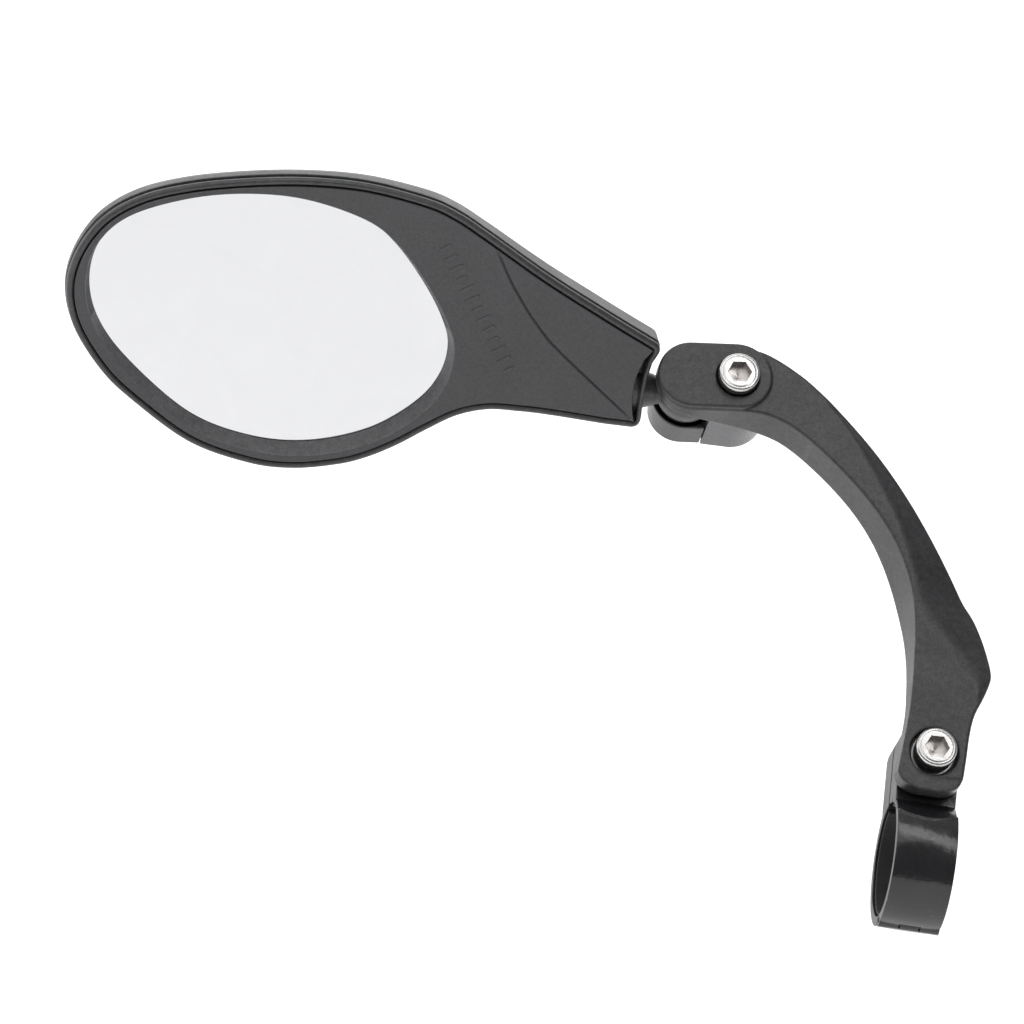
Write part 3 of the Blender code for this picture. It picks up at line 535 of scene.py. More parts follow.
def rubber(name, dark, light):
    m = Nodes(name)
    grain = m.noise(2600.0, 3.0, 0.6)
    wide = m.noise(160.0, 3.0, 0.6)
    m.colour(m.mix(m.range(wide, 0.35, 0.65, 0.0, 1.0), dark, light))
    m.roughness(m.range(grain, 0.3, 0.7, 0.62, 0.78))
    m.normal(m.bump(grain, 0.00002, 0.8))
    m.shader.inputs["Specular IOR Level"].default_value = 0.35
    return m.material


def foam(name):
    m = Nodes(name)
    cell = m.cells(1500.0)
    fine = m.noise(4000.0, 3.0, 0.6)
    m.colour(m.mix(m.range(cell, 0.0, 0.6, 0.0, 1.0), (0.008, 0.008, 0.009), (0.035, 0.035, 0.037)))
    m.roughness(m.range(fine, 0.3, 0.7, 0.85, 0.98))
    m.normal(m.bump(cell, 0.00015, 0.8))
    m.shader.inputs["Specular IOR Level"].default_value = 0.2
    return m.material


def mirror(name):
    """Silvered glass, with the faint haze of a wiped surface."""
    m = Nodes(name)
    haze = m.noise(70.0, 4.0, 0.6, distortion=1.2)
    wipe = m.noise(40.0, 2.0, 0.5, m.stretched(1.0, 1.0, 9.0))
    dust = m.range(m.noise(2600.0, 1.0, 0.5), 0.70, 0.80, 0.0, 1.0)
    m.colour(m.mix(m.range(haze, 0.35, 0.65, 0.0, 1.0), (0.655, 0.656, 0.664), (0.640, 0.641, 0.650)))
    base = m.math("ADD", m.range(haze, 0.35, 0.7, 0.02, 0.05), m.range(wipe, 0.35, 0.7, 0.0, 0.03))
    m.roughness(m.math("ADD", base, m.math("MULTIPLY", dust, 0.08)))
    m.normal(m.bump(haze, 0.00001, 0.15))
    m.shader.inputs["Metallic"].default_value = 1.0
    return m.material


ARM_PLASTIC = plastic("arm_plastic_fine", (0.022, 0.022, 0.0235), (0.031, 0.031, 0.033), 0.40, 0.40, 0.018, wear_and_glint=0.28, fleck=0.6, wear_and_glint_range=(0.58, 0.70))
JAW_PLASTIC = plastic("jaw_plastic_fine", (0.020, 0.020, 0.0212), (0.027, 0.027, 0.0285), 0.40, 0.40, 0.014, level=0.28, wear_and_glint=0.3, fleck=0.5, wear_and_glint_range=(0.57, 0.68))
HOUSING_PLASTIC = plastic("housing_plastic_fine", (0.032, 0.032, 0.0335), (0.042, 0.042, 0.044), 0.40, 0.34, 0.010, wear_and_glint=0.0)
PANEL_PLASTIC = plastic("panel_plastic_fine", (0.046, 0.046, 0.048), (0.053, 0.053, 0.0555), 0.55, 0.24, 0.006, wear_and_glint=0.0, fleck=0.22)
# The bevel plastic is about twice as light as the panel plastic: painted light on the sloping bevel round the glass.
LIT_BEVEL_PLASTIC = plastic("bevel_plastic_painted_light_fine", (0.094, 0.094, 0.097), (0.112, 0.112, 0.115), 0.46, 0.5, 0.012, wear_and_glint=0.0, fleck=0.3)
SEAT_NYLON = plastic("seat_nylon_fine", (0.012, 0.012, 0.013), (0.018, 0.018, 0.019), 0.46, 0.20, 0.003)
CLAMP_PAINT = gloss_black("clamp_paint_fine")
CLAMP_SIDES = plastic("clamp_sides_fine", (0.016, 0.016, 0.017), (0.026, 0.026, 0.027), 0.50, 0.25, 0.008, level=0.22, wear_and_glint=0.3, wear_and_glint_range=(0.57, 0.68))
BOLT_STEEL = turned_metal("bright_steel_fine", (0.57, 0.563, 0.552), 0.22, depth=0.002)
# The socket steel is darker than the bolt steel: painted shade in the hex recess.
SHADED_SOCKET_STEEL = turned_metal("socket_steel_painted_shade_fine", (0.46, 0.43, 0.415), 0.28, depth=0.002, tint=(0.25, 0.21, 0.2))
WASHER_STEEL = turned_metal("washer_steel_fine", (0.36, 0.36, 0.355), 0.30, 0.22, tint=(0.25, 0.23, 0.2))
LINER_RUBBER = rubber("liner_rubber_fine", (0.016, 0.016, 0.017), (0.026, 0.026, 0.027))
PAD_FOAM = foam("pad_foam_fine")
MIRROR_GLASS = mirror("mirror_glass_fine")


# ---------------------------------------------------------------- placing
def place(obj, node, body, finish, where=LEAN_FRAME, pivot=None, sharp=None):
    """Millimetres to metres, the origin moved to pivot, then onto its body."""
    pivot = pivot or Vector((0.0, 0.0, 0.0))
    turn = where.to_3x3().to_4x4()
    obj.data.transform(turn @ Matrix.Scale(0.001, 4) @ Matrix.Translation(-pivot))
    obj.matrix_world = Matrix.Translation(where @ (pivot * 0.001))
    obj.data.materials.clear()
    obj.data.materials.append(finish)
    obj.data.shade_smooth()
    if sharp:
        obj.data.set_sharp_from_angle(angle=math.radians(sharp))
        step = obj.modifiers.new("even_shading", "WEIGHTED_NORMAL")
        step.keep_sharp = True
        step.weight = 80
    obj.name = node + "_fine"
    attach(obj, body)
    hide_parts(node)
    return obj


# ---------------------------------------------------------------- arm
ARM = [
    (-42.6, 89.2, -42.9, 103.2, 13.4, 13.4, 4.7, 0.9, 1.00),
    (-37.6, 88.0, -35.2, 99.5, 13.4, 13.2, 4.5, 0.9, 0.99),
    (-33.0, 85.7, -29.3, 95.2, 13.4, 12.8, 4.4, 0.9, 0.93),
    (-28.6, 82.5, -24.0, 90.8, 13.4, 12.4, 4.4, 0.9, 0.85),
    (-24.5, 79.1, -19.2, 86.4, 13.4, 12.1, 4.4, 0.9, 0.74),
    (-20.3, 75.4, -14.6, 81.7, 13.4, 11.5, 4.3, 1.0, 0.60),
    (-16.4, 71.4, -10.2, 76.5, 13.4, 11.0, 4.0, 1.2, 0.47),
    (-12.8, 66.8, -6.0, 70.9, 13.4, 10.5, 3.7, 1.6, 0.34),
    (-9.9, 61.6, -1.9, 64.7, 13.4, 10.2, 3.6, 1.9, 0.21),
    (-7.9, 56.4, 1.8, 58.5, 13.4, 10.0, 3.6, 2.0, 0.12),
    (-7.15, 53.0, 3.95, 54.5, 13.4, 10.1, 3.9, 1.8, 0.10),
    (-6.7, 50.6, 6.1, 51.7, 13.35, 10.4, 4.2, 1.5, 0.18),
    (-6.25, 46.8, 8.25, 47.3, 13.3, 10.9, 5.0, 1.0, 0.36),
    (-6.0, 43.0, 9.7, 43.2, 13.2, 11.4, 5.8, 0.7, 0.57),
    (-5.85, 39.6, 10.74, 39.2, 13.1, 12.2, 6.5, 0.5, 0.70),
    (-5.8, 36.8, 10.4, 36.7, 13.1, 12.35, 7.0, 0.4, 0.84),
    (-5.7, 33.2, 9.2, 33.1, 13.0, 12.6, 7.7, 0.4, 0.93),
    (-5.75, 29.6, 7.8, 29.6, 12.9, 12.7, 8.3, 0.3, 0.97),
    (-6.1, 25.2, 7.15, 25.2, 12.8, 12.8, 8.6, 0.3, 1.00),
    (-6.6, 20.3, 6.9, 20.3, 12.8, 12.8, 8.6, 0.3, 1.00),
    (-7.1, 15.8, 6.6, 15.8, 12.8, 12.8, 8.6, 0.3, 1.00),
]
JAW_RADIUS = 7.5


def arm_rows():
    rows = []
    for step in range(16):
        angle = math.radians(7.0 + 83.0 * step / 16)
        along, half = -JAW_RADIUS * math.cos(angle), JAW_RADIUS * math.sin(angle)
        rows.append([*jaw(along, -half), *jaw(along, half), 13.6, 13.6, 10.7, 0.4 * ramp(half, 3.0, 6.0), 1.0])
    coarse = []
    coarse.append([*jaw(0.0, -JAW_RADIUS), *jaw(0.0, JAW_RADIUS), 13.6, 13.6, 10.0, 0.4, 1.0])
    coarse.append([*jaw(4.4, -JAW_RADIUS), *jaw(4.4, JAW_RADIUS + 0.2), 13.6, 13.6, 7.7, 0.3, 1.0])
    coarse.append([*jaw(JAW_LENGTH, -JAW_RADIUS), *jaw(JAW_LENGTH, JAW_RADIUS + 0.1), 13.5, 13.5, 6.2, 0.7, 1.0])
    coarse += [list(row) for row in ARM]
    for x_low, x_high, z in ((-7.0, 6.4, 14.9), (-6.6, 6.0, 13.9), (-5.8, 5.3, 13.05), (-4.5, 4.3, 12.35), (-2.6, 2.5, 11.8)):
        coarse.append([x_low, z, x_high, z, 12.8, 12.8, 8.6, 0.3, 0.8])
    bend = spline_rows(coarse, 6)
    inner, outer, rest = bend, bend, bend
    for count in range(60):
        inner = [inner[0], *[[(a + 2 * b + c) / 4 for a, b, c in zip(*inner[i - 1 : i + 2])] for i in range(1, len(inner) - 1)], inner[-1]]
        if count == 7:
            outer = inner
    # The jaw and the ear keep their own shape, and only the long curve between them is eased.
    out = []
    for i, (raw, some, more) in enumerate(zip(bend, outer, inner)):
        keep = ramp(i, 20, 40) * (1.0 - ramp(i, 110, 128))
        soft = [a + (b - a) * keep for a, b in zip(raw, more)]
        firm = [a + (b - a) * keep for a, b in zip(raw, some)]
        out.append([soft[0], soft[1], firm[2], firm[3], firm[4], firm[5], soft[6], soft[7], firm[8]])
    return rows + out


def arm_section(row):
    """Section from the back, up the inner wall, over the face with its soft crease, and down the outer wall."""
    xi, zi, xo, zo, ni, no, nb, draft, crease = row
    inner, outer = Vector((xi, zi)), Vector((xo, zo))
    across = (outer - inner).normalized()
    width = (outer - inner).length
    e = min(0.45, width * 0.18)
    f = min(0.75, width * 0.2)
    g = min(0.35, width * 0.12)

    def at(distance, n):
        p = inner + across * distance
        return P(p.x, p.y, n)

    ridge_n = ni + 0.12
    ridge = max(0.05, crease) * width
    soft = 0.05 + 0.75 * ramp(0.95 - crease, 0.0, 0.3) * ramp(width, 3.0, 7.0)

    def level(distance):
        one = ni + (ridge_n - ni) * distance / ridge
        if crease > 0.985:
            return one
        two = ridge_n - (ridge_n - no) * (distance - ridge) / (width - ridge)
        h = max(soft - abs(one - two), 0.0) / soft
        return min(one, two) - h * h * soft * 0.25

    out = []
    for k in range(4):
        a = math.pi / 2 * k / 3
        out.append(at(-draft + g - g * math.sin(a), nb + g - g * math.cos(a)))
    for k in range(1, 8):
        t = k / 8
        out.append(at(-draft * (1 - t), nb + g + (ni - e - nb - g) * t))
    for k in range(5):
        a = math.pi / 2 * k / 4
        out.append(at(e - e * math.cos(a), level(e) - e + e * math.sin(a)))
    for k in range(1, 18):
        d = e + (width - e - f) * k / 18
        out.append(at(d, level(d)))
    top = level(width - f)
    for k in range(6):
        a = math.pi / 2 * k / 5
        out.append(at(width - f + f * math.sin(a), top - f + f * math.cos(a)))
    for k in range(1, 6):
        t = k / 6
        out.append(at(width, top - f + (nb + g - top + f) * t))
    for k in range(4):
        a = math.pi / 2 * k / 3
        out.append(at(width - g + g * math.cos(a), nb + g - g * math.sin(a)))
    return out


arm = make("arm_work", loft([arm_section(row) for row in arm_rows()]))
PLATFORM = ((7.5, 10.9), (7.42, 12.6), (7.38, 14.12), (7.30, 14.28), (7.08, 14.47), (6.98, 14.5))
join(arm, loft([[P(*p, n) for p in stadium(0.0, JAW_LENGTH, r, 0.25)] for r, n in PLATFORM]))
SKIRT = ((7.35, -6.4), (7.55, -6.25), (7.65, -5.95), (7.65, 9.5))
skirt_rings = []
for r, n in SKIRT:
    near = r - 0.62
    skirt_rings.append([P(*jaw(a, b), n) for a, b in [(4.4, -near), *circle((JAW_LENGTH + 1.0, 0.0), r, 48, -90.0, 180.0), (4.4, near)]])
join(arm, loft(skirt_rings))
cut(arm, prism(circle(jaw(0.0, 0.0), 7.25, 96), -10.0, 8.4))
cut(arm, ball_mesh(SOCKET_RADIUS, at_ball, 72, 36))
cut(arm, turned([(6.95, 5.0), (6.95, 7.9), (5.7, 10.3)], (BALL[0], BALL[1])))
tongue_room = [jaw(-1.0, -6.05), *[jaw(a, b) for a, b in circle((JAW_LENGTH, 0.0), 6.05, 40, -90.0, 180.0)], jaw(-1.0, 6.05)]
cut(arm, prism(tongue_room, -10.0, 2.8))
cut(arm, prism(circle(UPPER_BOLT, 2.8, 64), -12.0, 20.0))
cut(arm, turned([(4.6, 11.0), (4.6, 14.28), (4.8, 14.55), (4.8, 20.0)], UPPER_BOLT))
cut(arm, prism(circle(LOWER_BOLT, 2.8, 64), 0.0, 20.0))
cut(arm, turned([(5.1, 10.1), (5.1, 12.62), (5.3, 12.85), (5.3, 20.0)], LOWER_BOLT))
soften(arm, 0.17, 4)
place(arm, "arm", "arm", ARM_PLASTIC, pivot=P(*LOWER_BOLT, 0.0))

# ---------------------------------------------------------------- lower jaw
cup = [jaw(a, b) for a, b in circle((0.0, 0.0), 6.95, 64, 90.0, 180.0)] + [jaw(4.1, -6.95), jaw(4.1, 6.95)]


def shrunk(outline, distance):
    return [(p.x, p.y) for p in offset([Vector(p) for p in outline], distance)]


jaw_low = make("jaw_work", loft([[P(*p, n) for p in shrunk(cup, d)] for d, n in ((0.85, -6.4), (0.5, -6.32), (0.2, -6.1), (0.02, -5.7), (0.0, -5.2), (0.0, 1.9), (0.08, 2.15), (0.3, 2.3))]))
tongue = [jaw(0.0, -5.7), *[jaw(a, b) for a, b in circle((JAW_LENGTH, 0.0), 5.7, 48, -90.0, 180.0)], jaw(0.0, 5.7)]
join(jaw_low, prism(tongue, -6.15, 2.25))
cut(jaw_low, ball_mesh(SOCKET_RADIUS, at_ball, 72, 36))
cut(jaw_low, turned([(5.2, -0.6), (6.45, 1.6), (6.55, 2.0), (6.85, 2.5), (6.9, 3.5)], (BALL[0], BALL[1])))
cut(jaw_low, prism(circle(UPPER_BOLT, 2.8, 64), -12.0, 8.0))
jaw_angle = math.degrees(math.atan2(JAW_X.y, JAW_X.x))
cut(jaw_low, prism(hexagon(UPPER_BOLT, 8.5, jaw_angle), -12.0, -1.8))
soften(jaw_low, 0.13, 2)
place(jaw_low, "lower_jaw", "jaw", JAW_PLASTIC, pivot=at_ball(0, 0, 0))


# ---------------------------------------------------------------- clamp
def along_bar(profile, low, high):
    return loft([[Vector((x, -n, z)) for n, z in profile] for x in (low, high)])


def half_ring(side, outer, inner, steps=72):
    rows = []
    for r in (outer, inner):
        start = math.asin(CLAMP_SPLIT / r)
        rows.append([(side * r * math.sin(start + (math.pi - 2 * start) * i / steps), r * math.cos(start + (math.pi - 2 * start) * i / steps)) for i in range(steps + 1)])
    return rows[0] + rows[1][::-1]


def clamp_half(node, side, body):
    half = CLAMP_WIDTH / 2
    crown = []
    for k in range(17):
        t = -1.0 + 2.0 * k / 16
        profile = half_ring(side, CLAMP_RADIUS - 0.20 * t * t, CLAMP_BORE_RADIUS)
        crown.append([Vector((half * t, -n, z)) for n, z in profile])
    made = make(node + "_work", loft(crown))
    if side > 0:
        cut(made, prism(circle(LOWER_BOLT, 14.4, 160), 4.0, 30.0))
        join(made, along_bar(half_ring(side, CLAMP_WAIST_RADIUS, CLAMP_BORE_RADIUS + 0.005), -half + 0.05, half - 0.05))
        ridge = make("ridge_work", along_bar(half_ring(side, CLAMP_RADIUS + 0.14, CLAMP_BORE_RADIUS + 0.3), -half + 0.3, half - 0.3))
        boolean(ridge, "INTERSECT", ring_solid([(14.32, 4.0), (14.8, 4.0), (14.8, 30.0), (14.32, 30.0)], LOWER_BOLT, 160))
        copy = bmesh.new()
        copy.from_mesh(ridge.data)
        bpy.data.objects.remove(ridge, do_unlink=True)
        join(made, copy)
    ear = [(-half, 12.6), (half, 12.6)] + circle((0.0, EAR_TOP), half, 48, 0.0, 180.0)
    join(made, prism(ear, side * CLAMP_SPLIT, side * (CLAMP_SPLIT + EAR_THICKNESS)))
    far = CLAMP_SPLIT + EAR_THICKNESS - 0.01
    web = [(side * CLAMP_SPLIT, 10.6), (side * CLAMP_SPLIT, 15.0), (side * far, 15.0), (side * far, 10.2), (side * 6.5, 10.4)]
    join(made, along_bar(web, -half + 0.03, half - 0.03))
    cut(made, prism(circle(LOWER_BOLT, 2.8, 64), -12.0, 12.0))
    cut(made, along_bar(circle((0.0, 0.0), CLAMP_BORE_RADIUS, 160), -half - 2, half + 2))
    spans = ((-half, -2.25), (2.25, half)) if side > 0 else ((-1.95, 1.95),)
    gaps = ((-2.24, 2.24),) if side > 0 else ((-half - 1, -1.96), (1.96, half + 1))
    for low, high in gaps:
        cut(made, along_bar(circle((0.0, -HINGE_DROP), KNUCKLE_RADIUS + 0.3, 48), low, high))
    for low, high in spans:
        join(made, along_bar(circle((0.0, -HINGE_DROP), KNUCKLE_RADIUS, 48), low, high))
    cut(made, along_bar(circle((0.0, 0.0), CLAMP_BORE_RADIUS + 0.004, 160), -half - 2, half + 2))
    cut(made, along_bar(circle((0.0, -HINGE_DROP), PIN_RADIUS + 0.12, 40), -half - 2, half + 2))
    if side < 0:
        cut(made, prism(hexagon(LOWER_BOLT, 8.5, 30.0), -12.0, -3.3))
    soften(made, 0.11, 2)
    place(made, node, body, CLAMP_PAINT)
    # The cut sides take a thinner, rougher coat than the rolled faces.
    made.data.materials.append(CLAMP_SIDES)
    for face in made.data.polygons:
        if abs(face.normal.x) > 0.8:
            face.material_index = 1
    return made


clamp_half("clamp_front_half", 1, "clamp")
clamp_half("clamp_rear_half", -1, "clamp_rear")


def liner(node, side, body):
    """Rubber strip with a lip at each side and shallow ribs that grip the bar."""
    steps, start = 120, 12.0
    half = CLAMP_WIDTH / 2 - 0.5
    rings = []
    for x, out_by, in_by in ((-half, 0.25, 0.25), (-half + 0.08, 0.08, 0.08), (-half + 0.25, 0.0, 0.0), (half - 0.25, 0.0, 0.0), (half - 0.08, 0.08, 0.08), (half, 0.25, 0.25)):
        outside, inside = [], []
        for i in range(steps + 1):
            a = math.radians(start + (180 - 2 * start) * i / steps)
            rib = 0.06 * (0.5 - 0.5 * math.cos(2 * math.pi * i / 8)) if 3 < i < steps - 3 else 0.0
            outside.append((side * (LINER_OUTER_RADIUS - out_by) * math.sin(a), (LINER_OUTER_RADIUS - out_by) * math.cos(a)))
            inside.append((side * (BAR_RADIUS + rib + in_by) * math.sin(a), (BAR_RADIUS + rib + in_by) * math.cos(a)))
        rings.append([Vector((x, -n, z)) for n, z in outside + inside[::-1]])
    made = make(node + "_work", loft(rings))
    return place(made, node, body, LINER_RUBBER, sharp=40)


liner("bar_liner_front", 1, "clamp")
liner("bar_liner_rear", -1, "clamp_rear")

pin_rings = []
reach = CLAMP_WIDTH / 2 - 0.2
for x, r in ((-reach, 0.3), (-reach + 0.06, 0.42), (-reach + 0.2, 0.52), (-reach + 0.3, PIN_RADIUS), (reach - 0.3, PIN_RADIUS), (reach - 0.2, 0.52), (reach - 0.06, 0.42), (reach, 0.3)):
    pin_rings.append([Vector((x, -r * math.sin(2 * math.pi * i / 40), -HINGE_DROP + r * math.cos(2 * math.pi * i / 40))) for i in range(40)])
place(make("pin_work", loft(pin_rings)), "clamp_hinge_pin", "clamp", WASHER_STEEL, pivot=P(0, -HINGE_DROP, 0), sharp=30)


# ---------------------------------------------------------------- fasteners
def cap_screw(node, body, centre, underside, length, hex_turn, head=4.25):
    sides, pitch, major, depth = 72, 0.8, 2.45, 0.36
    top = underside + 5.0
    low = underside - length
    rings = []

    def ring(level, radius_at):
        rings.append([P(centre[0] + radius_at(i) * math.cos(2 * math.pi * i / sides), centre[1] + radius_at(i) * math.sin(2 * math.pi * i / sides), level) for i in range(sides)])

    threaded = 9.5
    steps = int(threaded / pitch * 10)
    ring(low, lambda i: major - 0.75)
    for k in range(1, steps + 1):
        level = low + threaded * k / steps
        grow = min(1.0, 0.3 + (level - low) / 0.9)
        fade = 1.0 - ramp(level - low, threaded - 1.2, threaded)

        def radius(i, level=level, grow=grow, fade=fade):
            turn = (level / pitch - i / sides) % 1.0
            tooth = min(1.0, abs(2.0 * turn - 1.0) * 1.35)
            return min(major - depth * tooth * fade, major - 0.62 + 0.62 * grow)

        ring(level, radius)
    for level, r in ((underside - 0.35, major), (underside - 0.1, major + 0.06), (underside, major + 0.25), (underside, head - 0.3), (underside + 0.06, head - 0.1), (underside + 0.22, head), (top - 0.62, head), (top - 0.42, head - 0.04), (top - 0.22, head - 0.16), (top - 0.07, head - 0.36), (top - 0.01, head - 0.52), (top, head - 0.6), (top, head - 0.74), (top - 0.07, head - 0.8), (top - 0.09, head - 0.86), (top - 0.04, head - 0.94), (top - 0.02, 3.1), (top - 0.02, 3.05)):
        ring(level, lambda i, r=r: r)
    made = make(node + "_work", loft(rings))
    cut(made, prism(hexagon(centre, 4.5, hex_turn), top - 2.3, top + 1.0))
    cut(made, turned([(0.05, top - 3.2), (2.1, top - 2.25), (2.1, top - 2.1)], centre, 48))
    bevel(made, 0.05, 2, 35)
    place(made, node, body, BOLT_STEEL, pivot=P(*centre, underside), sharp=32)
    # The socket is rougher than the turned head, and darker: painted shade inside the recess.
    made.data.materials.append(SHADED_SOCKET_STEEL)
    axis = LEAN_FRAME.to_3x3() @ Vector((0.0, -1.0, 0.0))
    for face in made.data.polygons:
        along = face.center.dot(axis)
        if 0.001 < along < 0.00492 and (face.center - axis * along).length < 0.0027:
            face.material_index = 1
    return made


def nut(node, body, centre, low, turn):
    thick = 3.8
    made = make(node + "_work", prism(hexagon(centre, 8.0, turn), low, low + thick))
    boolean(made, "INTERSECT", turned([(3.85, low - 0.01), (4.72, low + 0.5), (4.72, low + thick - 0.5), (3.85, low + thick + 0.01)], centre, 96))
    cut(made, turned([(3.1, low - 0.1), (2.62, low + 0.42), (2.62, low + thick - 0.42), (3.1, low + thick + 0.1)], centre, 64))
    bevel(made, 0.09, 2, 28)
    return place(made, node, body, BOLT_STEEL, pivot=P(*centre, low), sharp=30)


def washer(node, body, inner, outer, low, high, centre, finish, edge=0.12):
    section = []
    for cr, cn, sr, sn in ((outer - edge, low + edge, 1, -1), (outer - edge, high - edge, 1, 1), (inner + edge, high - edge, -1, 1), (inner + edge, low + edge, -1, -1)):
        arc = [(edge * math.sin(math.pi / 2 * k / 4), edge * math.cos(math.pi / 2 * k / 4)) for k in range(5)]
        if sr * sn > 0:
            arc = arc[::-1]
        section += [(cr + sr * a, cn + sn * b) for a, b in arc]
    made = make(node + "_work", ring_solid(section, centre))
    return place(made, node, body, finish, pivot=P(*centre, low), sharp=40)


cap_screw("lower_bolt", "lower_screw", LOWER_BOLT, 10.9, 18.0, 2.0)
washer("lower_flat_washer", "arm", 2.7, 4.5, 10.2, 10.75, LOWER_BOLT, WASHER_STEEL)
washer("swivel_washer", "arm", 2.75, 6.0, 7.9, 8.4, LOWER_BOLT, SEAT_NYLON)
nut("lower_nut", "clamp_rear", LOWER_BOLT, -7.5, 30.0)
cap_screw("upper_bolt", "upper_screw", UPPER_BOLT, 12.0, 18.0, 8.0, 4.38)
washer("upper_flat_washer", "arm", 2.7, 4.45, 11.1, 11.85, UPPER_BOLT, WASHER_STEEL)
nut("upper_nut", "jaw", UPPER_BOLT, -5.9, jaw_angle)


def seat(node, body, start, end):
    steps = 16
    angles = [math.radians(start + (end - start) * i / steps) for i in range(steps + 1)]
    section = [(SEAT_OUTER * math.sin(a), SEAT_OUTER * math.cos(a) + BALL[2]) for a in angles] + [(SEAT_INNER * math.sin(a), SEAT_INNER * math.cos(a) + BALL[2]) for a in reversed(angles)]
    made = make(node + "_work", ring_solid(section, (BALL[0], BALL[1])))
    bevel(made, 0.06, 2, 50)
    return place(made, node, body, SEAT_NYLON, pivot=at_ball(0, 0, 0), sharp=40)


seat("ball_seat_upper", "yaw_seat", 16.0, 41.0)
seat("ball_seat_lower", "pitch_seat", 126.0, 162.0)

# ---------------------------------------------------------------- mirror head
HEAD_TOP = [(-11.8, 16.1), (-18.4, 20.3), (-31.6, 29.0), (-44.7, 38.6), (-51.0, 43.0), (-57.5, 46.1), (-70.0, 49.5), (-82.5, 50.7), (-94.8, 50.4), (-107.0, 49.0), (-117.0, 46.2), (-125.0, 41.0), (-130.2, 33.6)]
HEAD_TIP = (-132.2, 25.4)
HEAD_BOTTOM = [(-18.0, -5.8), (-30.2, -3.7), (-36.6, -2.9), (-43.0, -2.5), (-49.3, -3.9), (-55.5, -7.2), (-61.7, -10.9), (-68.0, -13.8), (-74.2, -15.5), (-83.7, -16.4), (-93.2, -15.1), (-106.0, -10.0), (-118.7, 0.3), (-125.4, 7.6), (-130.6, 16.6)]
TOP_CORNER, BOTTOM_CORNER = Vector((-6.0, 12.5)), Vector((-10.3, -6.8))
END = [(-8.45, 8.7), (-9.2, 5.2), (-9.65, 1.6), (-9.9, -1.9), (-9.95, -3.6)]
WINDOW = [(-50.8, 11.5), (-52.6, 18.4), (-57.1, 26.9), (-63.4, 35.6), (-70.2, 41.2), (-82.7, 45.7), (-95.0, 46.9), (-107.2, 45.6), (-119.0, 41.6), (-125.4, 35.2), (-127.6, 26.6), (-125.8, 17.2), (-119.4, 7.4), (-106.4, -5.0), (-93.4, -10.7), (-80.6, -12.1), (-67.5, -9.2), (-57.6, -2.9), (-52.4, 4.0)]


SIDE_COUNT = 170


def head_outline(side_count=SIDE_COUNT, corner_count=10):
    tip = Vector(HEAD_TIP)
    top = spline(HEAD_TOP + [HEAD_TIP, HEAD_BOTTOM[-1]], 24)[: 24 * len(HEAD_TOP) + 1]
    bottom = spline(HEAD_BOTTOM + [HEAD_TIP, HEAD_TOP[-1]], 24)[: 24 * len(HEAD_BOTTOM) + 1]
    end = spline(END, 8)
    top_arc = fillet(end[0], TOP_CORNER, top[0], 2.2, corner_count)
    bottom_arc = fillet(bottom[0], BOTTOM_CORNER, end[-1], 2.3, corner_count)
    top = resample([top_arc[-1]] + top, side_count + 1)
    bottom = resample([bottom_arc[0]] + bottom, side_count + 1)
    middle = [(a + b) / 2 for a, b in zip(top, bottom)]
    last = max(i for i, m in enumerate(middle) if (m - tip).length > 30.0)
    spine = [middle[min(i, last)] for i in range(side_count + 1)]
    points, spines = [], []
    run = [p for p in reversed(end) if (p - BOTTOM_CORNER).length > (bottom_arc[-1] - BOTTOM_CORNER).length + 0.2 and (p - TOP_CORNER).length > (top_arc[0] - TOP_CORNER).length + 0.2]
    for p in run + top_arc[:-1]:
        points.append(p)
        spines.append(spine[0])
    for p, s in zip(top, spine):
        points.append(p)
        spines.append(s)
    for p, s in reversed(list(zip(bottom[:-1], spine[:-1]))):
        points.append(p)
        spines.append(s)
    for p in bottom_arc[1:]:
        points.append(p)
        spines.append(spine[0])
    return points, spines, len(run) + len(top_arc) - 1


OUTLINE, SPINE, FIRST_TOP = head_outline()
OUTLINE = [Vector((p.x + 0.38 * ramp(-p.x, 120.0, 131.0), p.y - 0.20 * ramp(p.y, 36.0, 50.0))) for p in OUTLINE]
# 1 along the short end beside the neck, 0 along both sides.
AT_END = [ramp(p.x, -12.5, -10.6) * (1.0 - ramp(p.y, 8.5, 11.5)) for p in OUTLINE]


def insets(value, at_end=None):
    at_end = value if at_end is None else at_end
    return [value + (at_end - value) * e for e in AT_END]


def side_depth(u):
    return 0.9 - 3.3 * ramp(u, -95.0, -22.0)


def back_depth(u):
    return -8.4 + 3.7 * ramp(u, -75.0, -22.0)


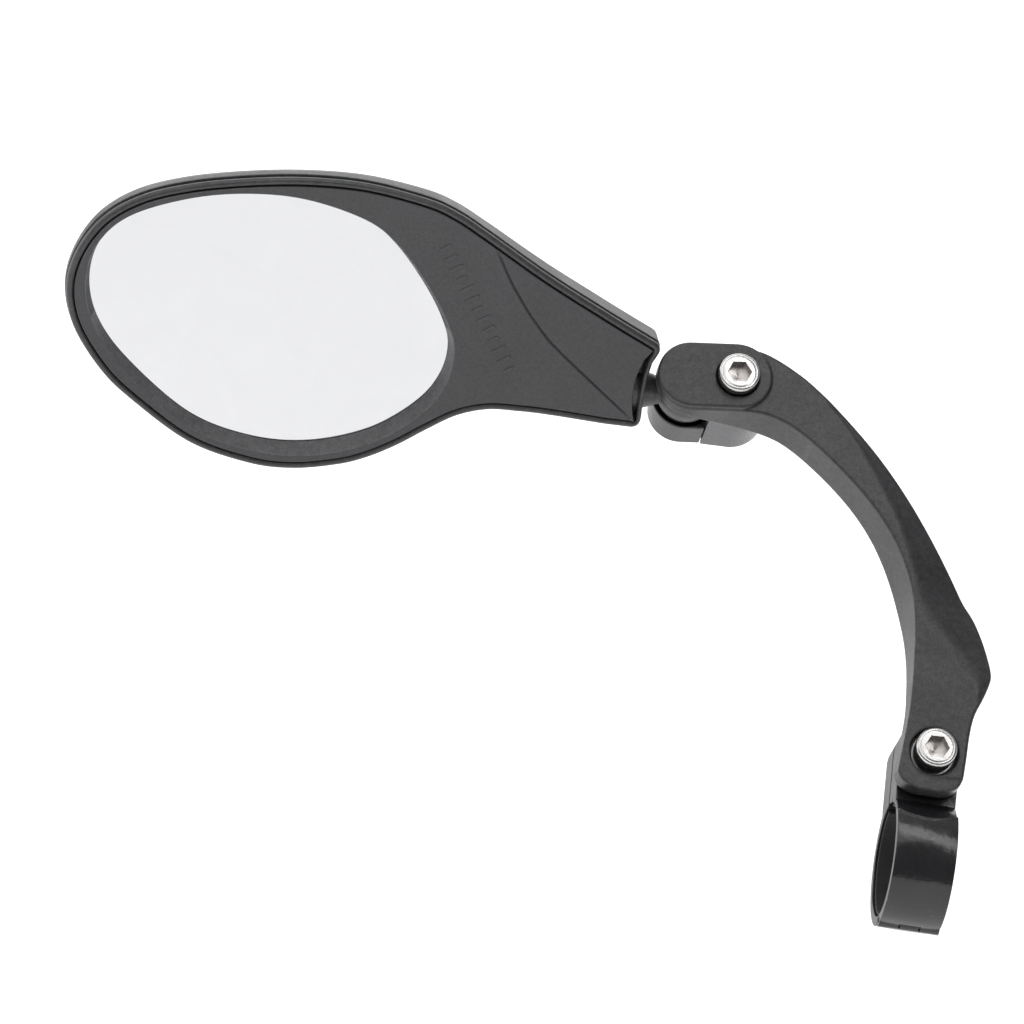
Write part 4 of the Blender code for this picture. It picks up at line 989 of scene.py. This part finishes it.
def housing():
    rings = []

    def ring(value, level, at_end=None, end_level=None):
        line = offset(OUTLINE, insets(value, at_end))
        end_level = level if end_level is None else end_level
        rings.append([H(p.x, p.y, level + (end_level - level) * e) for p, e in zip(line, AT_END)])

    ring(2.1, FACE - 0.55, 1.5)
    ring(1.62, FACE - 0.42, 1.08)
    ring(1.52, FACE - 0.18, 0.98)
    ring(1.32, FACE - 0.04, 0.85)
    ring(1.05, FACE, 0.7)
    ring(0.78, FACE - 0.05, 0.52)
    ring(0.55, FACE - 0.20, 0.34)
    ring(0.38, FACE - 0.45, 0.2)
    ring(0.28, FACE - 0.80, 0.12)
    ring(0.26, FACE - 1.15, 0.08)
    ring(0.36, FACE - 1.38, 0.08)
    ring(0.72, FACE - 1.46, 0.08)
    ring(0.80, FACE - 1.60, 0.08)
    ring(0.80, FACE - 1.95, 0.08)
    ring(0.70, FACE - 2.08, 0.08)
    ring(0.26, FACE - 2.14, 0.08)
    ring(0.12, FACE - 2.26, 0.08)
    ring(0.08, FACE - 2.50, 0.08)
    wall = offset(OUTLINE, insets(0.10))
    for k in range(1, 5):
        rings.append([H(p.x, p.y, FACE - 2.5 + (side_depth(s.x) - FACE + 2.5) * k / 4) for p, s in zip(wall, SPINE)])
    for t in (0.006, 0.02, 0.045, 0.08, 0.125, 0.18, 0.245, 0.32, 0.4, 0.49, 0.59, 0.68, 0.76, 0.83, 0.89, 0.94):
        bend = math.sqrt(1 - (1 - t) ** 2)
        row = []
        for p, s in zip(wall, SPINE):
            q = p.lerp(s, t)
            top, deep = side_depth(s.x), back_depth(s.x)
            row.append(H(q.x, q.y, top + (deep - top) * bend))
        rings.append(row)
    mesh = loft(rings, caps=False)
    mesh.verts.ensure_lookup_table()
    mesh.faces.new(mesh.verts[: len(OUTLINE)][::-1])
    # The back is closed by a strip from the upper side to the lower one, crowned like the rest.
    last = mesh.verts[len(mesh.verts) - len(OUTLINE) :]
    upper = last[FIRST_TOP : FIRST_TOP + SIDE_COUNT + 1]
    lower = list(reversed(last[FIRST_TOP + SIDE_COUNT + 1 : FIRST_TOP + 2 * SIDE_COUNT + 1]))
    middle = [mesh.verts.new((a.co + b.co) / 2) for a, b in zip(upper, lower)]
    for i in range(SIDE_COUNT - 1):
        mesh.faces.new((upper[i], upper[i + 1], middle[i + 1], middle[i]))
        mesh.faces.new((middle[i], middle[i + 1], lower[i + 1], lower[i]))
    mesh.faces.new((upper[SIDE_COUNT - 1], upper[SIDE_COUNT], middle[SIDE_COUNT - 1]))
    mesh.faces.new((middle[SIDE_COUNT - 1], upper[SIDE_COUNT], lower[SIDE_COUNT - 1]))
    mesh.faces.new([lower[0], *last[FIRST_TOP + 2 * SIDE_COUNT + 1 :], *last[:FIRST_TOP], upper[0], middle[0]])
    return mesh


shell = make("shell_work", housing())
window = spline(WINDOW, 12, closed=True)
pocket_line = offset(OUTLINE, insets(1.65, 1.1))
cut(shell, prism([(p.x, p.y) for p in pocket_line], 1.4, FACE + 2.0, H))
cut(shell, prism([(p.x, p.y) for p in offset(window, -1.05)], -1.2, FACE + 1.5, H))


def neck_ring(u, high, deep, sides=72):
    rise = -0.06 * u
    return [H(u, rise + high * math.cos(2 * math.pi * i / sides), deep * math.sin(2 * math.pi * i / sides)) for i in range(sides)]


NECK = spline_rows([(-17.0, 3.9, 2.6), (-14.0, 4.7, 3.6), (-12.0, 4.9, 4.0), (-10.9, 4.75, 3.95), (-10.0, 4.3, 3.7), (-9.2, 3.95, 3.45), (-8.3, 3.72, 3.25), (-7.4, 3.45, 3.1), (-6.6, 3.1, 3.0), (-5.0, 3.0, 2.95), (-3.0, 3.0, 2.9)], 5)
join(shell, loft([neck_ring(*row) for row in NECK]))
join(shell, ball_mesh(BALL_RADIUS, H, 128, 80))
grid(shell, 5.0)
place(shell, "rear_housing", "head", HOUSING_PLASTIC, HEAD_FRAME, sharp=38)

# ---------------------------------------------------------------- front panel
# Turns a point made by H back into (u, v, w).
H_BACK = Matrix([H(1, 0, 0) - H(0, 0, 0), H(0, 1, 0) - H(0, 0, 0), H(0, 0, 1) - H(0, 0, 0)]).to_4x4() @ Matrix.Translation(-H(0, 0, 0))
panel_rings = []
# The short end of the panel is hollowed, so a dark crescent shows between it and the rim.
HOLLOW = [e * max(0.0, 1.0 - ((p.y - 3.0) / 8.5) ** 2) for p, e in zip(OUTLINE, AT_END)]
for value, level in ((1.95, 3.45), (1.95, FACE - 0.2), (1.99, FACE - 0.08), (2.08, FACE - 0.01), (2.2, FACE)):
    panel_rings.append([H(p.x, p.y, level) for p in offset(OUTLINE, [v + 1.25 * h for v, h in zip(insets(value, value - 0.45), HOLLOW)])])
panel = make("panel_work", loft(panel_rings))
join(panel, prism([(p.x, p.y) for p in offset(window, -0.75)], LENS_FRONT + 0.15, 4.2, H))
opening = []


def lowness(outline):
    """1 where an opening's wall faces straight up, 0 at its sides and top: the bevel is widest at the bottom."""
    out = []
    for i, p in enumerate(outline):
        along = (outline[(i + 1) % len(outline)] - outline[i - 1]).normalized()
        out.append(abs(along.x) if p.y < 15.0 else 0.0)
    for _ in range(30):
        out = [(out[i - 1] + 2 * out[i] + out[(i + 1) % len(out)]) / 4 for i in range(len(out))]
    return out


if sum(a.x * b.y - b.x * a.y for a, b in zip(window, window[1:] + window[:1])) < 0:
    window = window[::-1]
LOW = lowness(window)
for d, level, wide in ((1.25, 0.0, 0.0), (0.95, LENS_FRONT - 0.02, 0.0), (0.9, LENS_FRONT + 0.22, 0.0), (0.1, FACE - 0.3, 0.72), (0.02, FACE - 0.14, 0.76), (-0.1, FACE - 0.03, 0.78), (-0.25, FACE + 0.02, 0.78), (-0.4, FACE + 0.5, 0.78)):
    opening.append([H(p.x, p.y, level) for p in offset(window, [d - wide * w for w in LOW])])
cut(panel, loft(opening))

# Decorative line across the panel.
LINE = [(-42.7, 34.4), (-39.7, 27.9), (-36.9, 22.9), (-34.3, 18.8), (-30.0, 13.2), (-21.7, 4.9), (-12.6, -3.9)]
line = spline(LINE, 10)
sweep = []
for i, p in enumerate(line):
    ahead = (line[min(i + 1, len(line) - 1)] - line[max(i - 1, 0)]).normalized()
    side = Vector((-ahead.y, ahead.x))
    fade = min(1.0, 0.25 + min(i, len(line) - 1 - i) / 5.0)
    section = ((-0.42, 0.06), (-0.2, -0.16 * fade), (0.0, -0.34 * fade), (0.16, -0.2 * fade), (0.3, 0.06), (0.0, 0.5))
    sweep.append([H(p.x + side.x * a, p.y + side.y * a, FACE + b) for a, b in section])
cut(panel, loft(sweep))

# Low raised bars beside it.
start, stop_at = Vector((-53.6, 35.2)), Vector((-38.9, 7.4))
run = (stop_at - start).normalized()
cross = Vector((-run.y, run.x))
bars = bmesh.new()
count = 13
for k in range(count):
    c = start.lerp(stop_at, k / (count - 1))
    tall = 1.55 if k % 3 else 1.15
    wide = 0.42
    corners = []
    for sx, sy, turn in ((1, 1, 0), (-1, 1, 90), (-1, -1, 180), (1, -1, 270)):
        for q in range(4):
            a = math.radians(turn + 30 * q)
            corners.append((sx * (wide - 0.3) + 0.3 * math.cos(a), sy * (tall - 0.3) + 0.3 * math.sin(a)))
    rows = []
    for scale, level in ((1.0, FACE - 0.4), (1.0, FACE + 0.0), (0.93, FACE + 0.1), (0.8, FACE + 0.15)):
        row = []
        for a, b in corners:
            q = c + run * a * scale + cross * b * (1 - (1 - scale) * 0.3)
            row.append(bars.verts.new(H(q.x, q.y, level)))
        rows.append(row)
    total = len(rows[0])
    for near, far in zip(rows, rows[1:]):
        for i in range(total):
            j = (i + 1) % total
            bars.faces.new((near[i], near[j], far[j], far[i]))
    bars.faces.new(rows[0][::-1])
    bars.faces.new(rows[-1])
join(panel, bars)
grid(panel, 3.0)
# The bevel round the glass has a coarser grain than the face, and a lighter colour that is painted light, as if the
# lamps above caught its sloping faces.
rim_points = KDTree(len(window))
for i, p in enumerate(window):
    rim_points.insert((p.x, p.y, 0.0), i)
rim_points.balance()
bevel_faces = []
for face in panel.data.polygons:
    c = H_BACK @ face.center
    if 0.25 < abs((H_BACK.to_3x3() @ face.normal).z) < 0.93 and LENS_FRONT + 0.2 < c.z < FACE + 0.01 and rim_points.find((c.x, c.y, 0.0))[2] < 1.6:
        bevel_faces.append(face.index)
place(panel, "front_bezel", "head", PANEL_PLASTIC, HEAD_FRAME, sharp=20)
panel.data.materials.append(LIT_BEVEL_PLASTIC)
for index in bevel_faces:
    panel.data.polygons[index].material_index = 1

# ---------------------------------------------------------------- mirror glass and pad
lens_rings = []
for d, level in ((-0.5, LENS_FRONT - LENS_THICKNESS), (-0.62, LENS_FRONT - LENS_THICKNESS + 0.1), (-0.65, LENS_FRONT - LENS_THICKNESS + 0.25), (-0.65, LENS_FRONT - 0.25), (-0.6, LENS_FRONT - 0.08), (-0.45, LENS_FRONT)):
    lens_rings.append([H(p.x, p.y, level) for p in offset(window, d)])
place(make("lens_work", loft(lens_rings)), "mirror_lens", "head", MIRROR_GLASS, HEAD_FRAME, sharp=30)
pad_rings = []
for d, level in ((0.75, -1.05), (0.6, -0.9), (0.6, -0.7), (0.75, LENS_FRONT - LENS_THICKNESS - 0.15)):
    pad_rings.append([H(p.x, p.y, level) for p in offset(window, d)])
place(make("pad_work", loft(pad_rings)), "lens_adhesive_pad", "head", PAD_FOAM, HEAD_FRAME, sharp=30)

# ---------------------------------------------------------------- stage
floor_mesh = bmesh.new()
size = 40.0
floor_mesh.faces.new([floor_mesh.verts.new(Vector((x * size, y * size, -0.20))) for x, y in ((-1, -1), (1, -1), (1, 1), (-1, 1))])
floor = make("floor", floor_mesh)
paper = Nodes("floor_paper")
fibre = paper.noise(900.0, 4.0, 0.6)
paper.colour(paper.mix(paper.range(fibre, 0.3, 0.7, 0.0, 1.0), (0.86, 0.86, 0.865), (0.88, 0.88, 0.885)))
paper.shader.inputs["Roughness"].default_value = 0.85
paper.shader.inputs["Emission Color"].default_value = (1.0, 1.0, 1.0, 1.0)
# The studio's lamps light the middle, so the far paper gets a little glow to stay as pale.
far = paper.new("ShaderNodeVectorMath", operation="LENGTH")
paper.link(paper.object, far.inputs[0])
paper.link(paper.range(far.outputs["Value"], 0.7, 2.2, 0.50, 0.92), paper.shader.inputs["Emission Strength"])
floor.data.materials.append(paper.material)

world = bpy.data.worlds.new("studio")
scene.world = world
world.use_nodes = True
sky = world.node_tree.nodes["Background"]
around = world.node_tree.nodes.new("ShaderNodeTexCoord")
parts = world.node_tree.nodes.new("ShaderNodeSeparateXYZ")
fade = world.node_tree.nodes.new("ShaderNodeMapRange")
world.node_tree.links.new(around.outputs["Generated"], parts.inputs[0])
world.node_tree.links.new(parts.outputs["Y"], fade.inputs["Value"])
fade.inputs["From Min"].default_value = -0.35
fade.inputs["From Max"].default_value = 0.35
fade.inputs["To Min"].default_value = 0.24
fade.inputs["To Max"].default_value = 0.80
# The studio is darker to the right, where the object's outer faces look.
side = world.node_tree.nodes.new("ShaderNodeMapRange")
world.node_tree.links.new(parts.outputs["X"], side.inputs["Value"])
side.inputs["From Min"].default_value = -0.2
side.inputs["From Max"].default_value = 0.5
side.inputs["To Min"].default_value = 1.06
side.inputs["To Max"].default_value = 0.50
both = world.node_tree.nodes.new("ShaderNodeMath")
both.operation = "MULTIPLY"
world.node_tree.links.new(fade.outputs["Result"], both.inputs[0])
world.node_tree.links.new(side.outputs["Result"], both.inputs[1])
world.node_tree.links.new(both.outputs["Value"], sky.inputs["Strength"])
sky.inputs["Color"].default_value = (0.98, 0.985, 1.0, 1.0)


def soft_light(name, where, aim, width, height, power):
    data = bpy.data.lights.new(name, "AREA")
    data.shape = "RECTANGLE"
    data.size, data.size_y = width, height
    data.energy = power
    made = bpy.data.objects.new(name, data)
    scene.collection.objects.link(made)
    made.location = where
    made.rotation_mode = "QUATERNION"
    made.rotation_quaternion = (Vector(aim) - Vector(where)).to_track_quat("-Z", "Y")
    return made


soft_light("key", (-0.50, -0.45, 1.2), (-0.08, 0.0, 0.0), 1.25, 1.25, 6.6)
soft_light("strip", (0.27, -0.35, 1.15), (0.0, 0.0, 0.0), 0.24, 1.5, 3.6)
soft_light("back", (-0.2, 1.6, 0.72), (-0.1, 0.0, 0.3), 2.4, 0.9, 12.0)
soft_light("left", (-1.3, 0.2, 0.55), (-0.05, 0.0, 0.05), 0.9, 0.9, 4.4)

scene.view_settings.view_transform = "Standard"
scene.view_settings.look = "None"
scene.view_settings.exposure = 0.0
scene.view_settings.gamma = 1.0
